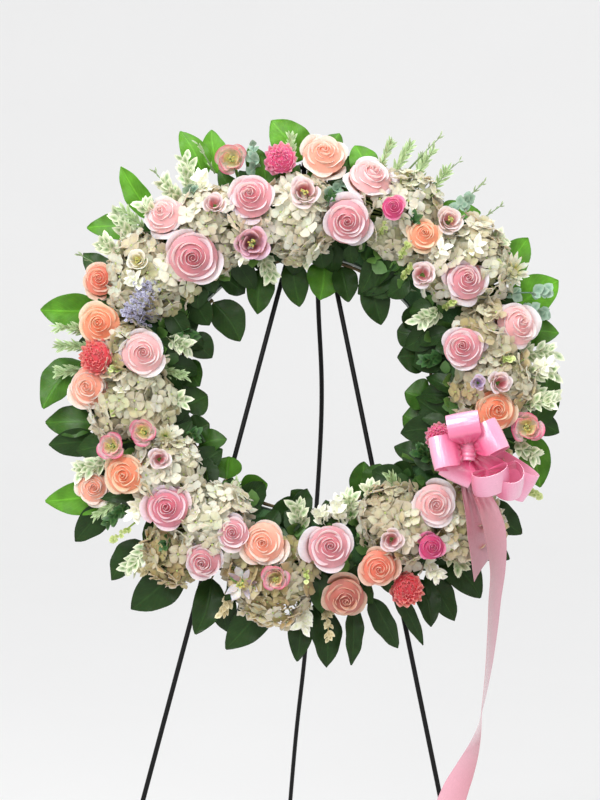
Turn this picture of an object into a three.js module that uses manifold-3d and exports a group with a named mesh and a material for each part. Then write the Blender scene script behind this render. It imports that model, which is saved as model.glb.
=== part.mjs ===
// A funeral wreath of roses, hydrangea and salal leaves that hangs on a folding wire easel.
// Millimetres, +Z up, +X to the right seen from the front, and the front faces -Y.
// The wreath and the front legs are built flat in the wreath's own frame (x right, y up in the
// ring's plane, z out of its face, ring centre at 0), and one group leans them back.
import * as THREE from "three";
import { mergeVertices } from "three/addons/utils/BufferGeometryUtils.js";
import Module from "manifold-3d";

const wasm = await Module();
wasm.setup();

// Driving dimensions
const LEAN = 10; // degrees that the front of the easel leans back
const GAP = 0.3; // clearance between pieces that touch
const ROOM = 3000; // wider than the whole object

const WIRE_R = 3; // easel wire
const HOOK_R = 2; // hooks and the leg stop
const LEG_Z = -WIRE_R - GAP; // axis of the front legs, just behind the ring
const APEX_Y = 272; // hinge above the ring's centre
const SPLAY_Y = 231; // height at which the front legs part
const FOOT_Y = -925; // past the floor, which cuts the leg ends flat
const LEG_SPACING = 9.5; // each front leg from the middle, at the hinge
const LEG_SLOPE = 0.2345; // sideways run of a front leg per unit of height
const REAR_ANGLE = 27.1; // degrees between the open rear leg and the front legs
const REAR_LENGTH = 1240; // rear leg, past the floor
const EYE_R = 7;
const EYE_WIDTH = 6.4;
const REAR_EYE_WIDTH = 9;
const PIN_R = 2.5;
const PIN_LENGTH = 32;
const PIN_HEAD_R = 4.5;
const PIN_HEAD = 2.4; // length of each head
const STOP_REACH = 25; // leg stop, down the rear leg from the hinge

const RING_R = 200; // centre line of the foam ring
const TRAY_HALF = 40; // half the tray's width
const TRAY_WALL = 2;
const TRAY_DEPTH = 25;
const FOAM_TOP = 45;
const FOAM_CHAMFER = 11;
const RING_SEGMENTS = 36;
const TAB_HOLE_Y = 252; // hole of the tray's hanging tab
const TAB_HOLE_R = 4.5;
const TAB_WIDTH = 22;
const TAB_THICKNESS = 2.5;
const TAB_Z = 11.5; // the tab's middle plane, in front of the hook's crossbar

const DOME_SIDE = 98; // how far the bloom heads swell sideways from the foam's core
const DOME_RISE = 88; // how far they stand out of it
const CORE_Z = 20;
const HEAD_TILT = 30; // degrees that the outermost heads turn outwards
const STEM_R = 2.2;
const STEM_HOLE_R = 3.8;
const STEM_END_Z = 30;
const NECK = 0.42; // back of a head behind its middle, as a share of its diameter
const HYDRANGEA_LOWEST = 62; // least height of a hydrangea's middle
const FLORET_FLATTENING = 0.86;
const BLOOM_FLOOR = FOAM_TOP + GAP; // the leaves lie below this height and the hydrangeas above

const LEAF_THICKNESS = 1.6;
const TWIG_R = 2.5;
const TWIG_Z = 22;
const OUTER_TWIG_R = RING_R + TRAY_HALF + 10; // outside the ledge hooks
const INNER_TWIG_R = RING_R - TRAY_HALF - 4.5;

const RIBBON_WIDTH = 38;
const RIBBON_THICKNESS = 1;
const BOW = { angle: 338, radius: 208, z: 132 };
const KNOT_R = 9;
const BOW_CLEAR_R = 76; // the hydrangeas stay clear of the bow within this distance

const COLOURS = {
  wire: 0x15161a,
  tray: 0x2e4a2f,
  foam: 0x3f6b3c,
  leaf: 0x4f7a35,
  hydrangea: 0xe6e0cf,
  blush: 0xe8b9be,
  peach: 0xe9b596,
  pink: 0xd98a9c,
  deep: 0xc8637d,
  coral: 0xdf8468,
  ribbon: 0xcf95a0,
};

// Rose heads: angle round the ring in degrees from the right, distance from the ring's
// centre, diameter of the head, and tone.
const ROSES = [
  [87, 279, 62, "peach"],
  [74, 262, 62, "blush"],
  [108, 232, 62, "pink"],
  [77, 197, 62, "pink"],
  [132, 266, 55, "blush"],
  [134, 200, 70, "pink"],
  [155, 279, 44, "coral"],
  [166, 257, 55, "peach"],
  [172, 197, 58, "blush"],
  [183, 261, 55, "blush"],
  [209, 243, 56, "peach"],
  [224, 223, 58, "deep"],
  [242, 248, 50, "pink"],
  [280, 199, 60, "pink"],
  [282, 264, 56, "deep"],
  [293, 239, 50, "coral"],
  [318, 213, 58, "blush"],
  [353, 230, 58, "peach"],
  [14, 192, 56, "pink"],
  [17, 266, 62, "blush"],
  [34, 228, 55, "pink"],
];

// Hydrangea heads that fill the ring between the roses: angle, distance, diameter.
const HYDRANGEAS = [
  [122, 218, 92],
  [148, 238, 92],
  [187, 214, 88],
  [214, 200, 74],
  [238, 205, 84],
  [262, 250, 92],
  [305, 205, 84],
  [320, 262, 80],
  [2, 232, 84],
  [38, 255, 96],
  [62, 240, 96],
  [95, 200, 88],
];

// Salal branches. Each leaf: angle and distance of the blade's foot, of its tip, and its width.
const OUTER_BRANCHES = {
  salal_top_left: [
    [100, 270, 98, 325, 36],
    [104, 275, 105, 302, 24],
    [114, 300, 112, 335, 26],
    [118, 305, 118, 350, 26],
    [134, 295, 132, 345, 27],
    [139, 300, 146, 330, 28],
  ],
  salal_left: [
    [154, 280, 151, 320, 28],
    [162, 280, 166, 340, 36],
    [176, 290, 187, 322, 38],
    [192, 270, 190, 325, 34],
    [197, 275, 195, 325, 30],
    [211, 285, 206, 350, 34],
    [213, 295, 216, 344, 30],
  ],
  salal_bottom_left: [
    [226, 295, 227, 340, 30],
    [237, 280, 234, 350, 44],
    [246, 275, 248, 335, 32],
    [251, 290, 254, 320, 26],
    [262, 280, 255, 340, 36],
    [270, 290, 270, 340, 26],
    [274, 285, 276, 350, 36],
    [284, 295, 281, 350, 24],
  ],
  salal_bottom_right: [
    [289, 290, 291, 345, 30],
    [295, 290, 293, 335, 20],
    [302, 295, 299, 335, 30],
    [305, 290, 304, 345, 34],
    [311, 275, 311, 340, 42],
    [320, 285, 321, 330, 28],
    [329, 280, 327, 325, 28],
    [345, 280, 339, 315, 34],
  ],
  salal_right: [
    [354, 280, 351, 320, 28],
    [1, 280, 7, 305, 32],
    [15, 275, 13, 315, 30],
    [21, 280, 24, 340, 40],
    [31, 280, 35, 330, 34],
    [54, 275, 46, 300, 30],
    [75, 275, 80, 300, 28],
  ],
};
const INNER_BRANCHES = {
  salal_inner_top: [
    [60, 150, 40, 120, 30],
    [75, 150, 64, 115, 28],
    [83, 150, 82, 105, 38],
    [98, 150, 96, 97, 28],
    [112, 150, 126, 105, 30],
  ],
  salal_inner_left: [
    [140, 150, 148, 97, 36],
    [158, 150, 166, 120, 28],
    [172, 150, 183, 130, 30],
    [192, 150, 188, 122, 32],
    [204, 150, 204, 128, 30],
    [212, 150, 217, 118, 26],
  ],
  salal_inner_bottom: [
    [232, 150, 225, 130, 34],
    [240, 150, 251, 132, 32],
    [272, 150, 264, 132, 22],
    [297, 150, 309, 120, 28],
    [305, 150, 315, 135, 30],
  ],
  salal_inner_right: [
    [344, 150, 344, 127, 32],
    [354, 150, 357, 123, 36],
    [14, 150, 18, 118, 36],
    [26, 150, 32, 132, 32],
  ],
};

// Bow loops: direction in the ring's plane, length, and the height of the belly over the knot.
const BOW_LOOPS = {
  bow_loop_top: [102, 46, 20],
  bow_loop_left: [190, 50, 0],
  bow_loop_right: [36, 52, 2],
  bow_loop_low: [288, 56, 22],
  bow_loop_low_right: [332, 88, -24],
};
const LOOP_BULGE = 9; // half the height of a loop at its belly
const LOOP_ROOT_HALF = 5; // half the width of the gathered ribbon at the knot

// Middle lines of the two ribbon tails in the wreath's frame, with the turn of the ribbon
// about its length in degrees.
const TAILS = {
  ribbon_tail_long: [
    [198, -98, 116, -8],
    [209, -124, 116, -22],
    [221, -148, 116, -34],
    [230, -178, 113, -44],
    [234, -216, 106, -56],
    [232, -254, 99, -62],
    [231, -289, 92, -66],
    [228, -338, 84, -73],
    [223, -386, 75, -82],
    [220, -412, 71, -92],
    [214, -437, 67, -106],
    [205, -462, 62, -122],
    [194, -490, 57, -138],
    [184, -525, 51, -146],
    [179, -566, 44, -150],
  ],
  ribbon_tail_short: [
    [190, -98, 113, -8],
    [198, -124, 111, -22],
    [206, -150, 104, -34],
    [212, -184, 97, -44],
    [218, -228, 88, -52],
  ],
};

const radians = THREE.MathUtils.degToRad;

// A point of the wreath's frame at an angle (degrees) and a distance from the ring's centre.
function polar(angle, radius, z = 0) {
  const a = radians(angle);
  return new THREE.Vector3(radius * Math.cos(a), radius * Math.sin(a), z);
}

// A closed geometry as a manifold solid: only its positions, with the shared vertices merged.
function solid(geometry) {
  const bare = new THREE.BufferGeometry();
  bare.setAttribute("position", geometry.getAttribute("position"));
  bare.setIndex(geometry.index);
  const merged = mergeVertices(bare, 1e-4);
  return new wasm.Manifold(
    new wasm.Mesh({
      numProp: 3,
      vertProperties: merged.attributes.position.array,
      triVerts: new Uint32Array(merged.index.array),
    }),
  );
}

// The largest connected body of a solid, for pieces that cuts may leave slivers of.
function largest(manifold) {
  const bodies = manifold.decompose();
  return bodies.reduce((best, body) => (body.volume() > best.volume() ? body : best));
}

// A manifold solid as a geometry for a mesh.
function geometryOf(manifold) {
  const { vertProperties, triVerts } = manifold.getMesh();
  const geometry = new THREE.BufferGeometry();
  geometry.setAttribute("position", new THREE.BufferAttribute(vertProperties, 3));
  geometry.setIndex(new THREE.BufferAttribute(triVerts, 1));
  geometry.computeVertexNormals();
  return geometry;
}

function joined(solids) {
  return solids.reduce((all, one) => all.add(one));
}

function cut(body, tools) {
  return tools.reduce((left, tool) => left.subtract(tool), body);
}

function mesh(name, shape, colour, roughness = 0.8, metalness = 0) {
  const geometry = shape.isBufferGeometry ? shape : geometryOf(shape);
  const material = new THREE.MeshStandardMaterial({ color: colour, roughness, metalness });
  const made = new THREE.Mesh(geometry, material);
  made.name = name;
  return made;
}

// A round wire along a smooth curve through the points.
function wire(points, radius, { sides = 8, steps = 24, tension = 0.1 } = {}) {
  const path = new THREE.CatmullRomCurve3(points, false, "catmullrom", tension);
  const section = new THREE.Shape();
  for (let i = 0; i < sides; i++) {
    const a = (2 * Math.PI * i) / sides;
    const draw = i ? "lineTo" : "moveTo";
    section[draw](radius * Math.cos(a), radius * Math.sin(a));
  }
  return new THREE.ExtrudeGeometry(section, { steps, extrudePath: path });
}

// A round bar along x, z or y, centred on a point.
function bar(centre, radius, length, axis, sides = 16) {
  const geometry = new THREE.CylinderGeometry(radius, radius, length, sides);
  if (axis === "x") geometry.rotateZ(Math.PI / 2);
  if (axis === "z") geometry.rotateX(Math.PI / 2);
  return geometry.translate(centre.x, centre.y, centre.z);
}

// A body turned about z from [radius, z] points, which start and end on the axis or close.
function turned(profile, segments) {
  const points = profile.map(([r, z]) => new THREE.Vector2(r, z));
  return new THREE.LatheGeometry(points, segments).rotateX(Math.PI / 2);
}

// A flat strip of even thickness. Each station has a centre, the half width there, and the
// unit vectors across the strip and out of its face.
function strip(stations, thickness) {
  const positions = [];
  for (const { centre, across, normal, half } of stations) {
    const corners = [[-1, -1], [1, -1], [1, 1], [-1, 1]];
    for (const [side, face] of corners) {
      const p = centre
        .clone()
        .addScaledVector(across, side * half)
        .addScaledVector(normal, (face * thickness) / 2);
      positions.push(p.x, p.y, p.z);
    }
  }
  const index = [2, 1, 0, 3, 2, 0];
  for (let i = 0; i < stations.length - 1; i++) {
    for (let k = 0; k < 4; k++) {
      const a = 4 * i + k;
      const b = 4 * i + ((k + 1) % 4);
      index.push(a, b, b + 4, a, b + 4, a + 4);
    }
  }
  const last = 4 * (stations.length - 1);
  index.push(last, last + 1, last + 2, last, last + 2, last + 3);
  const geometry = new THREE.BufferGeometry();
  geometry.setAttribute("position", new THREE.Float32BufferAttribute(positions, 3));
  geometry.setIndex(index);
  return geometry;
}

// --- the easel ---------------------------------------------------------------------------

const apex = new THREE.Vector3(0, APEX_Y, LEG_Z);

// The half space under the floor, in the wreath's frame once the easel's height is known.
function floorBlock(placing) {
  const block = new THREE.BoxGeometry(ROOM, ROOM, ROOM).translate(0, 0, -ROOM / 2);
  return solid(block.applyMatrix4(placing.clone().invert()));
}

function hingeEye(x, width, boreR) {
  const centre = new THREE.Vector3(x, APEX_Y, LEG_Z);
  const ring = solid(bar(centre, EYE_R, width, "x"));
  return { ring, bore: solid(bar(centre, boreR, width + 2, "x")) };
}

// A front leg: straight down from the hinge, then splayed out to its foot.
function frontLeg(side, floor) {
  const run = (LEG_SPACING / LEG_SLOPE) * 0.15;
  const footX = (APEX_Y - FOOT_Y) * LEG_SLOPE;
  const points = [
    [LEG_SPACING, APEX_Y],
    [LEG_SPACING, SPLAY_Y + run],
    [LEG_SPACING + 0.4 * run * LEG_SLOPE, SPLAY_Y - 0.4 * run],
    [footX, FOOT_Y],
  ].map(([x, y]) => new THREE.Vector3(side * x, y, LEG_Z));
  const { ring, bore } = hingeEye(side * LEG_SPACING, EYE_WIDTH, PIN_R + 0.4);
  return cut(solid(wire(points, WIRE_R, { tension: 0, steps: 12 })).add(ring), [bore, floor]);
}

// The rear leg as it stands open: a hand-bent wire that bows a little to the right.
function rearLeg(floor) {
  const a = radians(REAR_ANGLE);
  const bends = [[0, 0], [14, 0.15], [23, 0.29], [13, 0.55], [1, 0.71], [-14, 1]];
  const points = bends.map(
    ([x, t]) =>
      new THREE.Vector3(
        x,
        APEX_Y - REAR_LENGTH * t * Math.cos(a),
        LEG_Z - REAR_LENGTH * t * Math.sin(a),
      ),
  );
  const { ring, bore } = hingeEye(0, REAR_EYE_WIDTH, PIN_R + 0.7);
  return cut(solid(wire(points, WIRE_R, { tension: 0.5, steps: 16 })).add(ring), [bore, floor]);
}

function hingePin() {
  const head = (PIN_LENGTH - PIN_HEAD) / 2;
  const heads = [-head, head].map((x) =>
    solid(bar(new THREE.Vector3(x, APEX_Y, LEG_Z), PIN_HEAD_R, PIN_HEAD, "x")),
  );
  return joined([solid(bar(apex, PIN_R, PIN_LENGTH - PIN_HEAD, "x")), ...heads]);
}

// A stirrup between the front legs that the rear leg comes to rest on when it is open.
function legStop() {
  const a = radians(REAR_ANGLE);
  const off = WIRE_R + HOOK_R + GAP;
  const y = APEX_Y - STOP_REACH * Math.cos(a) + off * Math.sin(a);
  const z = LEG_Z - STOP_REACH * Math.sin(a) - off * Math.cos(a);
  const start = LEG_Z - WIRE_R - GAP;
  const points = [
    [-LEG_SPACING, start],
    [-LEG_SPACING, z + 4],
    [-LEG_SPACING + 4, z],
    [LEG_SPACING - 4, z],
    [LEG_SPACING, z + 4],
    [LEG_SPACING, start],
  ].map(([x, depth]) => new THREE.Vector3(x, y, depth));
  return wire(points, HOOK_R, { sides: 6, steps: 12 });
}

// A hook welded across the front legs, which passes through the tray's tab and turns up.
function topHook() {
  const base = new THREE.Vector3(0, TAB_HOLE_Y, HOOK_R);
  const crossbar = bar(base, HOOK_R, 2 * LEG_SPACING + 6, "x", 12);
  const points = [[0, 2], [0, 14], [2, 19], [12, 20]].map(
    ([up, out]) => new THREE.Vector3(0, TAB_HOLE_Y + up, out),
  );
  return solid(crossbar).add(solid(wire(points, HOOK_R, { sides: 6, steps: 8 })));
}

// The height of the ledge hooks: where the ring's outer edge passes over the legs. It solves
// x^2 + y^2 = outer^2 with x = (APEX_Y - y) * LEG_SLOPE for the lower crossing.
function ledgeHeight() {
  const outer = RING_R + TRAY_HALF + HOOK_R + 1;
  const slope2 = LEG_SLOPE * LEG_SLOPE;
  const half = APEX_Y * slope2;
  const rest = APEX_Y * APEX_Y * slope2 - outer * outer;
  return (half - Math.sqrt(half * half - (1 + slope2) * rest)) / (1 + slope2);
}

// A ledge hook: down the front of a leg, then out under the ring's lower edge.
function ledgeHook(side) {
  const ledgeY = ledgeHeight();
  const ledgeX = (APEX_Y - ledgeY) * LEG_SLOPE;
  const points = [
    [-22, HOOK_R],
    [-6, HOOK_R],
    [-1, HOOK_R + 3],
    [0, HOOK_R + 9],
    [0, 52],
  ].map(
    ([up, out]) => new THREE.Vector3(side * (ledgeX - up * LEG_SLOPE), ledgeY + up, out),
  );
  return wire(points, HOOK_R, { sides: 6, steps: 10 });
}

// --- the ring ----------------------------------------------------------------------------

function ringTray() {
  const inner = RING_R - TRAY_HALF;
  const outer = RING_R + TRAY_HALF;
  const channel = turned(
    [
      [inner, 0],
      [outer, 0],
      [outer, TRAY_DEPTH],
      [outer - TRAY_WALL, TRAY_DEPTH],
      [outer - TRAY_WALL, TRAY_WALL],
      [inner + TRAY_WALL, TRAY_WALL],
      [inner + TRAY_WALL, TRAY_DEPTH],
      [inner, TRAY_DEPTH],
      [inner, 0],
    ],
    RING_SEGMENTS,
  );
  const tabFoot = outer - 1;
  const tabLength = TAB_HOLE_Y + 8 - tabFoot;
  const tab = new THREE.BoxGeometry(TAB_WIDTH, tabLength, TAB_THICKNESS);
  tab.translate(0, tabFoot + tabLength / 2, TAB_Z);
  const hole = bar(new THREE.Vector3(0, TAB_HOLE_Y, TAB_Z), TAB_HOLE_R, 8, "z", 12);
  return cut(solid(channel).add(solid(tab)), [solid(hole)]);
}

function foamRing(holes) {
  const inner = RING_R - TRAY_HALF + TRAY_WALL + 0.4;
  const outer = RING_R + TRAY_HALF - TRAY_WALL - 0.4;
  const bottom = TRAY_WALL + GAP;
  const shoulder = FOAM_TOP - FOAM_CHAMFER;
  const body = turned(
    [
      [inner, bottom],
      [outer, bottom],
      [outer, shoulder],
      [outer - FOAM_CHAMFER, FOAM_TOP],
      [inner + FOAM_CHAMFER, FOAM_TOP],
      [inner, shoulder],
      [inner, bottom],
    ],
    RING_SEGMENTS,
  );
  return cut(solid(body), holes);
}

// --- the flowers -------------------------------------------------------------------------

// Where a bloom sits: its head on the dome over the foam, turned outwards a little, and the
// point where its stem enters the foam.
function bloomPlace(angle, radius) {
  const side = THREE.MathUtils.clamp((radius - RING_R) / DOME_SIDE, -0.95, 0.95);
  const z = CORE_Z + DOME_RISE * Math.sqrt(1 - side * side);
  const tilt = HEAD_TILT * side;
  const axis = polar(angle, Math.sin(radians(tilt)), Math.cos(radians(tilt)));
  const entryRadius = RING_R + THREE.MathUtils.clamp(0.38 * (radius - RING_R), -24, 24);
  return { head: polar(angle, radius, z), axis, entry: polar(angle, entryRadius, FOAM_TOP) };
}

// A stem from the back of a head down into the foam.
function stem(from, entry, radius, sides) {
  const above = entry.clone().setZ(FOAM_TOP + 3);
  const end = entry.clone().setZ(STEM_END_Z);
  const path = from.distanceTo(above) > 4 ? [from, above, end] : [from, end];
  return solid(wire(path, radius, { sides, steps: 4, tension: 0.2 }));
}

function stemHole(entry, radius = STEM_HOLE_R) {
  const centre = entry.clone().setZ(FOAM_TOP - 6);
  return solid(bar(centre, radius, 2 * (FOAM_TOP - 6 - STEM_END_Z) + 4, "z", 6));
}

function facing(axis, centre) {
  const turn = new THREE.Quaternion().setFromUnitVectors(new THREE.Vector3(0, 0, 1), axis);
  return new THREE.Matrix4().compose(centre, turn, new THREE.Vector3(1, 1, 1));
}

// A rose head with its calyx, of diameter d and centred on the widest petals.
function roseHead(d, segments) {
  const profile = [
    [0, -0.5], [0.13, -0.48], [0.34, -0.32], [0.48, -0.06], [0.5, 0.08],
    [0.4, 0.26], [0.2, 0.34], [0, 0.32],
  ];
  return turned(profile.map(([r, z]) => [r * d, z * d]), segments);
}

function rose([angle, radius, d]) {
  const { head, axis, entry } = bloomPlace(angle, radius);
  const placing = facing(axis, head);
  const back = head.clone().addScaledVector(axis, -NECK * d);
  const body = solid(roseHead(d, 10).applyMatrix4(placing)).add(stem(back, entry, STEM_R, 6));
  const room = solid(roseHead(d + 9, 8).applyMatrix4(placing));
  return { body, room: room.add(stem(back, entry, STEM_R + 1.6, 6)), hole: stemHole(entry) };
}

// A domed hydrangea head: a ball with a bumpy skin of florets, on a thick stem.
function hydrangeaBall(d, grow) {
  const ball = new THREE.IcosahedronGeometry(d / 2 + grow, 1);
  const spots = ball.getAttribute("position");
  const p = new THREE.Vector3();
  for (let i = 0; i < spots.count; i++) {
    p.fromBufferAttribute(spots, i);
    const bump = 1 + 0.035 * Math.sin(0.21 * p.x + 1) * Math.cos(0.23 * p.y - 0.19 * p.z);
    spots.setXYZ(i, p.x * bump, p.y * bump, p.z * bump * FLORET_FLATTENING);
  }
  return mergeVertices(new THREE.BufferGeometry().setAttribute("position", spots), 1e-3);
}

function hydrangea([angle, radius, d], obstacles, hole) {
  const { head, axis, entry } = bloomPlace(angle, radius);
  const centre = head.clone().addScaledVector(axis, -NECK * d);
  centre.z = Math.max(centre.z, HYDRANGEA_LOWEST);
  const placing = facing(axis, centre);
  const ball = solid(hydrangeaBall(d, 0).applyMatrix4(placing));
  const stalk = stem(centre, entry, STEM_R + 0.6, 6);
  const under = new THREE.BoxGeometry(ROOM, ROOM, ROOM).translate(0, 0, BLOOM_FLOOR - ROOM / 2);
  const dome = ball.subtract(solid(under));
  const body = largest(cut(dome.add(stalk), obstacles));
  const room = solid(hydrangeaBall(d, 2).applyMatrix4(placing));
  return { body, room: room.add(stem(centre, entry, STEM_R + 2, 6)), hole };
}

// --- the leaves --------------------------------------------------------------------------

// A leaf from a twig: a thin petiole, then an ovate blade that ends in a point.
function leaf([footAngle, footRadius, tipAngle, tipRadius, width], twigRadius, order) {
  const root = polar(footAngle, twigRadius, TWIG_Z);
  const foot = polar(footAngle, footRadius, TWIG_Z + 2 * (order % 2));
  const tip = polar(tipAngle, tipRadius, TWIG_Z + 10 * ((order % 3) - 1));
  const blade = [[0, 0.1], [0.14, 0.6], [0.4, 1], [0.66, 0.82], [0.88, 0.36], [1, 0.05]];
  const stations = [{ centre: root, half: TWIG_R * 0.8 }];
  for (const [t, share] of blade) {
    const centre = foot.clone().lerp(tip, t);
    centre.z += 3 * Math.sin(Math.PI * t);
    stations.push({ centre, half: (share * width) / 2 });
  }
  const up = new THREE.Vector3(0, 0, 1);
  stations.forEach((station, i) => {
    const before = stations[Math.max(i - 1, 0)].centre;
    const after = stations[Math.min(i + 1, stations.length - 1)].centre;
    const along = after.clone().sub(before).normalize();
    station.across = up.clone().cross(along).normalize();
    station.normal = along.cross(station.across).normalize();
  });
  return solid(strip(stations, LEAF_THICKNESS));
}

// A branch: a twig laid round the ring's wall from its first leaf to its last, with its leaves.
function branch(leaves, twigRadius) {
  const first = leaves[0][0];
  const turnTo = (angle) => ((angle - first + 540) % 360) - 180;
  const spans = leaves.map(([angle]) => turnTo(angle));
  const start = Math.min(...spans) - 0.8;
  const end = Math.max(...spans) + 0.8;
  const steps = Math.ceil((end - start) / 6);
  const points = Array.from({ length: steps + 1 }, (_, i) =>
    polar(first + start + ((end - start) * i) / steps, twigRadius, TWIG_Z),
  );
  const twig = solid(wire(points, TWIG_R, { sides: 6, steps, tension: 0.5 }));
  return joined([twig, ...leaves.map((spec, i) => leaf(spec, twigRadius, i))]);
}

// --- the ribbon --------------------------------------------------------------------------

const bowCentre = polar(BOW.angle, BOW.radius, BOW.z);

// A bow loop: out from the knot on the flowers' side, round, and back above. It is gathered at
// both ends and has its full width at the belly.
function bowLoop([angle, length, standOff]) {
  const out = polar(angle, 1);
  const across = new THREE.Vector3(-out.y, out.x, 0);
  const steps = 16;
  const start = KNOT_R + 3;
  const stations = [];
  for (let i = 0; i <= steps; i++) {
    const side = 2 * (i / steps) - 1; // -1 where the loop leaves the knot, 1 where it is back
    const turn = Math.PI * side;
    const share = 0.5 * (1 + Math.cos(turn)); // 0 at the knot, 1 at the loop's end
    const swell = Math.sin((Math.PI / 2) * Math.min(1, 1.7 * share));
    const bulge = 2.5 * side + LOOP_BULGE * Math.sin(turn) * (0.3 + 0.7 * swell);
    const rise = standOff * (0.4 + 0.6 * swell) + bulge + 4;
    const centre = bowCentre.clone().addScaledVector(out, start + (length - start) * share);
    centre.z += rise;
    const half = LOOP_ROOT_HALF + (RIBBON_WIDTH / 2 - LOOP_ROOT_HALF) * swell;
    stations.push({ centre, across, half });
  }
  stations.forEach((station, i) => {
    const before = stations[Math.max(i - 1, 0)].centre;
    const after = stations[Math.min(i + 1, steps)].centre;
    station.normal = after.clone().sub(before).normalize().cross(across).normalize();
  });
  return strip(stations, RIBBON_THICKNESS);
}

// The knot's wrap of ribbon, with the pick that holds the bow in the foam.
function bowKnot() {
  const knot = turned(
    [[0, -10], [6, -9], [KNOT_R, -3], [KNOT_R, 9], [6.5, 15], [0, 16.5]],
    12,
  ).translate(bowCentre.x, bowCentre.y, bowCentre.z);
  const length = BOW.z - STEM_END_Z - 4;
  const middle = bowCentre.clone().setZ(STEM_END_Z + length / 2);
  return solid(knot).add(solid(bar(middle, STEM_R, length, "z", 8)));
}

function tail(line) {
  const path = new THREE.CatmullRomCurve3(line.map(([x, y, z]) => new THREE.Vector3(x, y, z)));
  const steps = 3 * (line.length - 1);
  const stations = [];
  for (let i = 0; i <= steps; i++) {
    const t = i / steps;
    const place = t * (line.length - 1);
    const k = Math.min(Math.floor(place), line.length - 2);
    const turn = radians(THREE.MathUtils.lerp(line[k][3], line[k + 1][3], place - k));
    const along = path.getTangent(t);
    const level = new THREE.Vector3(Math.cos(turn), 0, Math.sin(turn));
    const across = level.addScaledVector(along, -level.dot(along)).normalize();
    const half = (RIBBON_WIDTH / 2) * Math.min(1, 0.3 + 0.25 * place);
    const normal = along.clone().cross(across).normalize();
    stations.push({ centre: path.getPoint(t), across, normal, half });
  }
  return strip(stations, RIBBON_THICKNESS);
}

// --- the whole ---------------------------------------------------------------------------

const easelHeight = (APEX_Y - (FOOT_Y + 10)) * Math.cos(radians(LEAN));
const placing = new THREE.Group();
placing.rotation.x = radians(90 - LEAN);
placing.position.z = easelHeight - APEX_Y * Math.cos(radians(LEAN));
placing.updateMatrixWorld(true);
const floor = floorBlock(placing.matrixWorld);

const easel = new THREE.Group();
easel.add(
  mesh("front_leg_left", frontLeg(-1, floor), COLOURS.wire, 0.45, 0.6),
  mesh("front_leg_right", frontLeg(1, floor), COLOURS.wire, 0.45, 0.6),
  mesh("rear_leg", rearLeg(floor), COLOURS.wire, 0.45, 0.6),
  mesh("hinge_pin", hingePin(), COLOURS.wire, 0.4, 0.7),
  mesh("leg_stop", legStop(), COLOURS.wire, 0.45, 0.6),
  mesh("top_hook", topHook(), COLOURS.wire, 0.45, 0.6),
  mesh("ledge_hook_left", ledgeHook(-1), COLOURS.wire, 0.45, 0.6),
  mesh("ledge_hook_right", ledgeHook(1), COLOURS.wire, 0.45, 0.6),
);

const wreath = new THREE.Group();
const numbered = (name, i) => `${name}_${String(i + 1).padStart(2, "0")}`;

const roses = ROSES.map(rose);
roses.forEach(({ body }, i) => {
  wreath.add(mesh(numbered("rose", i), body, COLOURS[ROSES[i][3]]));
});

const pickHole = stemHole(bowCentre);
const bowRoom = solid(bar(bowCentre.clone().setZ(BOW.z + 50), BOW_CLEAR_R, 160, "z", 16));
const pickRoom = solid(bar(bowCentre.clone().setZ(80), STEM_R + 1.6, 120, "z", 8));
const obstacles = [bowRoom, pickRoom, ...roses.map(({ room }) => room)];
const holes = [pickHole, ...roses.map(({ hole }) => hole)];
HYDRANGEAS.forEach((spec, i) => {
  const { entry } = bloomPlace(spec[0], spec[1]);
  const made = hydrangea(spec, obstacles, stemHole(entry, STEM_HOLE_R + 0.6));
  wreath.add(mesh(numbered("hydrangea", i), made.body, COLOURS.hydrangea));
  obstacles.push(made.room);
  holes.push(made.hole);
});

for (const [name, leaves] of Object.entries(OUTER_BRANCHES)) {
  wreath.add(mesh(name, branch(leaves, OUTER_TWIG_R), COLOURS.leaf, 0.35));
}
for (const [name, leaves] of Object.entries(INNER_BRANCHES)) {
  wreath.add(mesh(name, branch(leaves, INNER_TWIG_R), COLOURS.leaf, 0.35));
}
wreath.add(
  mesh("ring_tray", ringTray(), COLOURS.tray, 0.5),
  mesh("foam_ring", foamRing(holes), COLOURS.foam, 0.95),
  mesh("bow_knot", bowKnot(), COLOURS.ribbon, 0.35),
);
for (const [name, loop] of Object.entries(BOW_LOOPS)) {
  wreath.add(mesh(name, bowLoop(loop), COLOURS.ribbon, 0.3));
}
for (const [name, line] of Object.entries(TAILS)) {
  wreath.add(mesh(name, tail(line), COLOURS.ribbon, 0.3));
}

placing.add(easel, wreath);

// The origin is the middle of the floor under the whole.
const root = new THREE.Group();
root.add(placing);
const box = new THREE.Box3().setFromObject(placing, true);
placing.position.x -= (box.min.x + box.max.x) / 2;
placing.position.y -= (box.min.y + box.max.y) / 2;

export default root;
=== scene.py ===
"""Looks of a funeral wreath of roses, hydrangea and salal on a folding wire easel.

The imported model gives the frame: the hinge of the easel fixes where the wreath leans, and every
piece rides on one of its two bodies. Flowers, leaves and ribbon are worked out in the wreath's
own frame, in millimetres: x to the right, y up in the ring's plane, z out of the ring's face.
"""

import logging
import math
from dataclasses import dataclass, field
from enum import Enum

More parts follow.
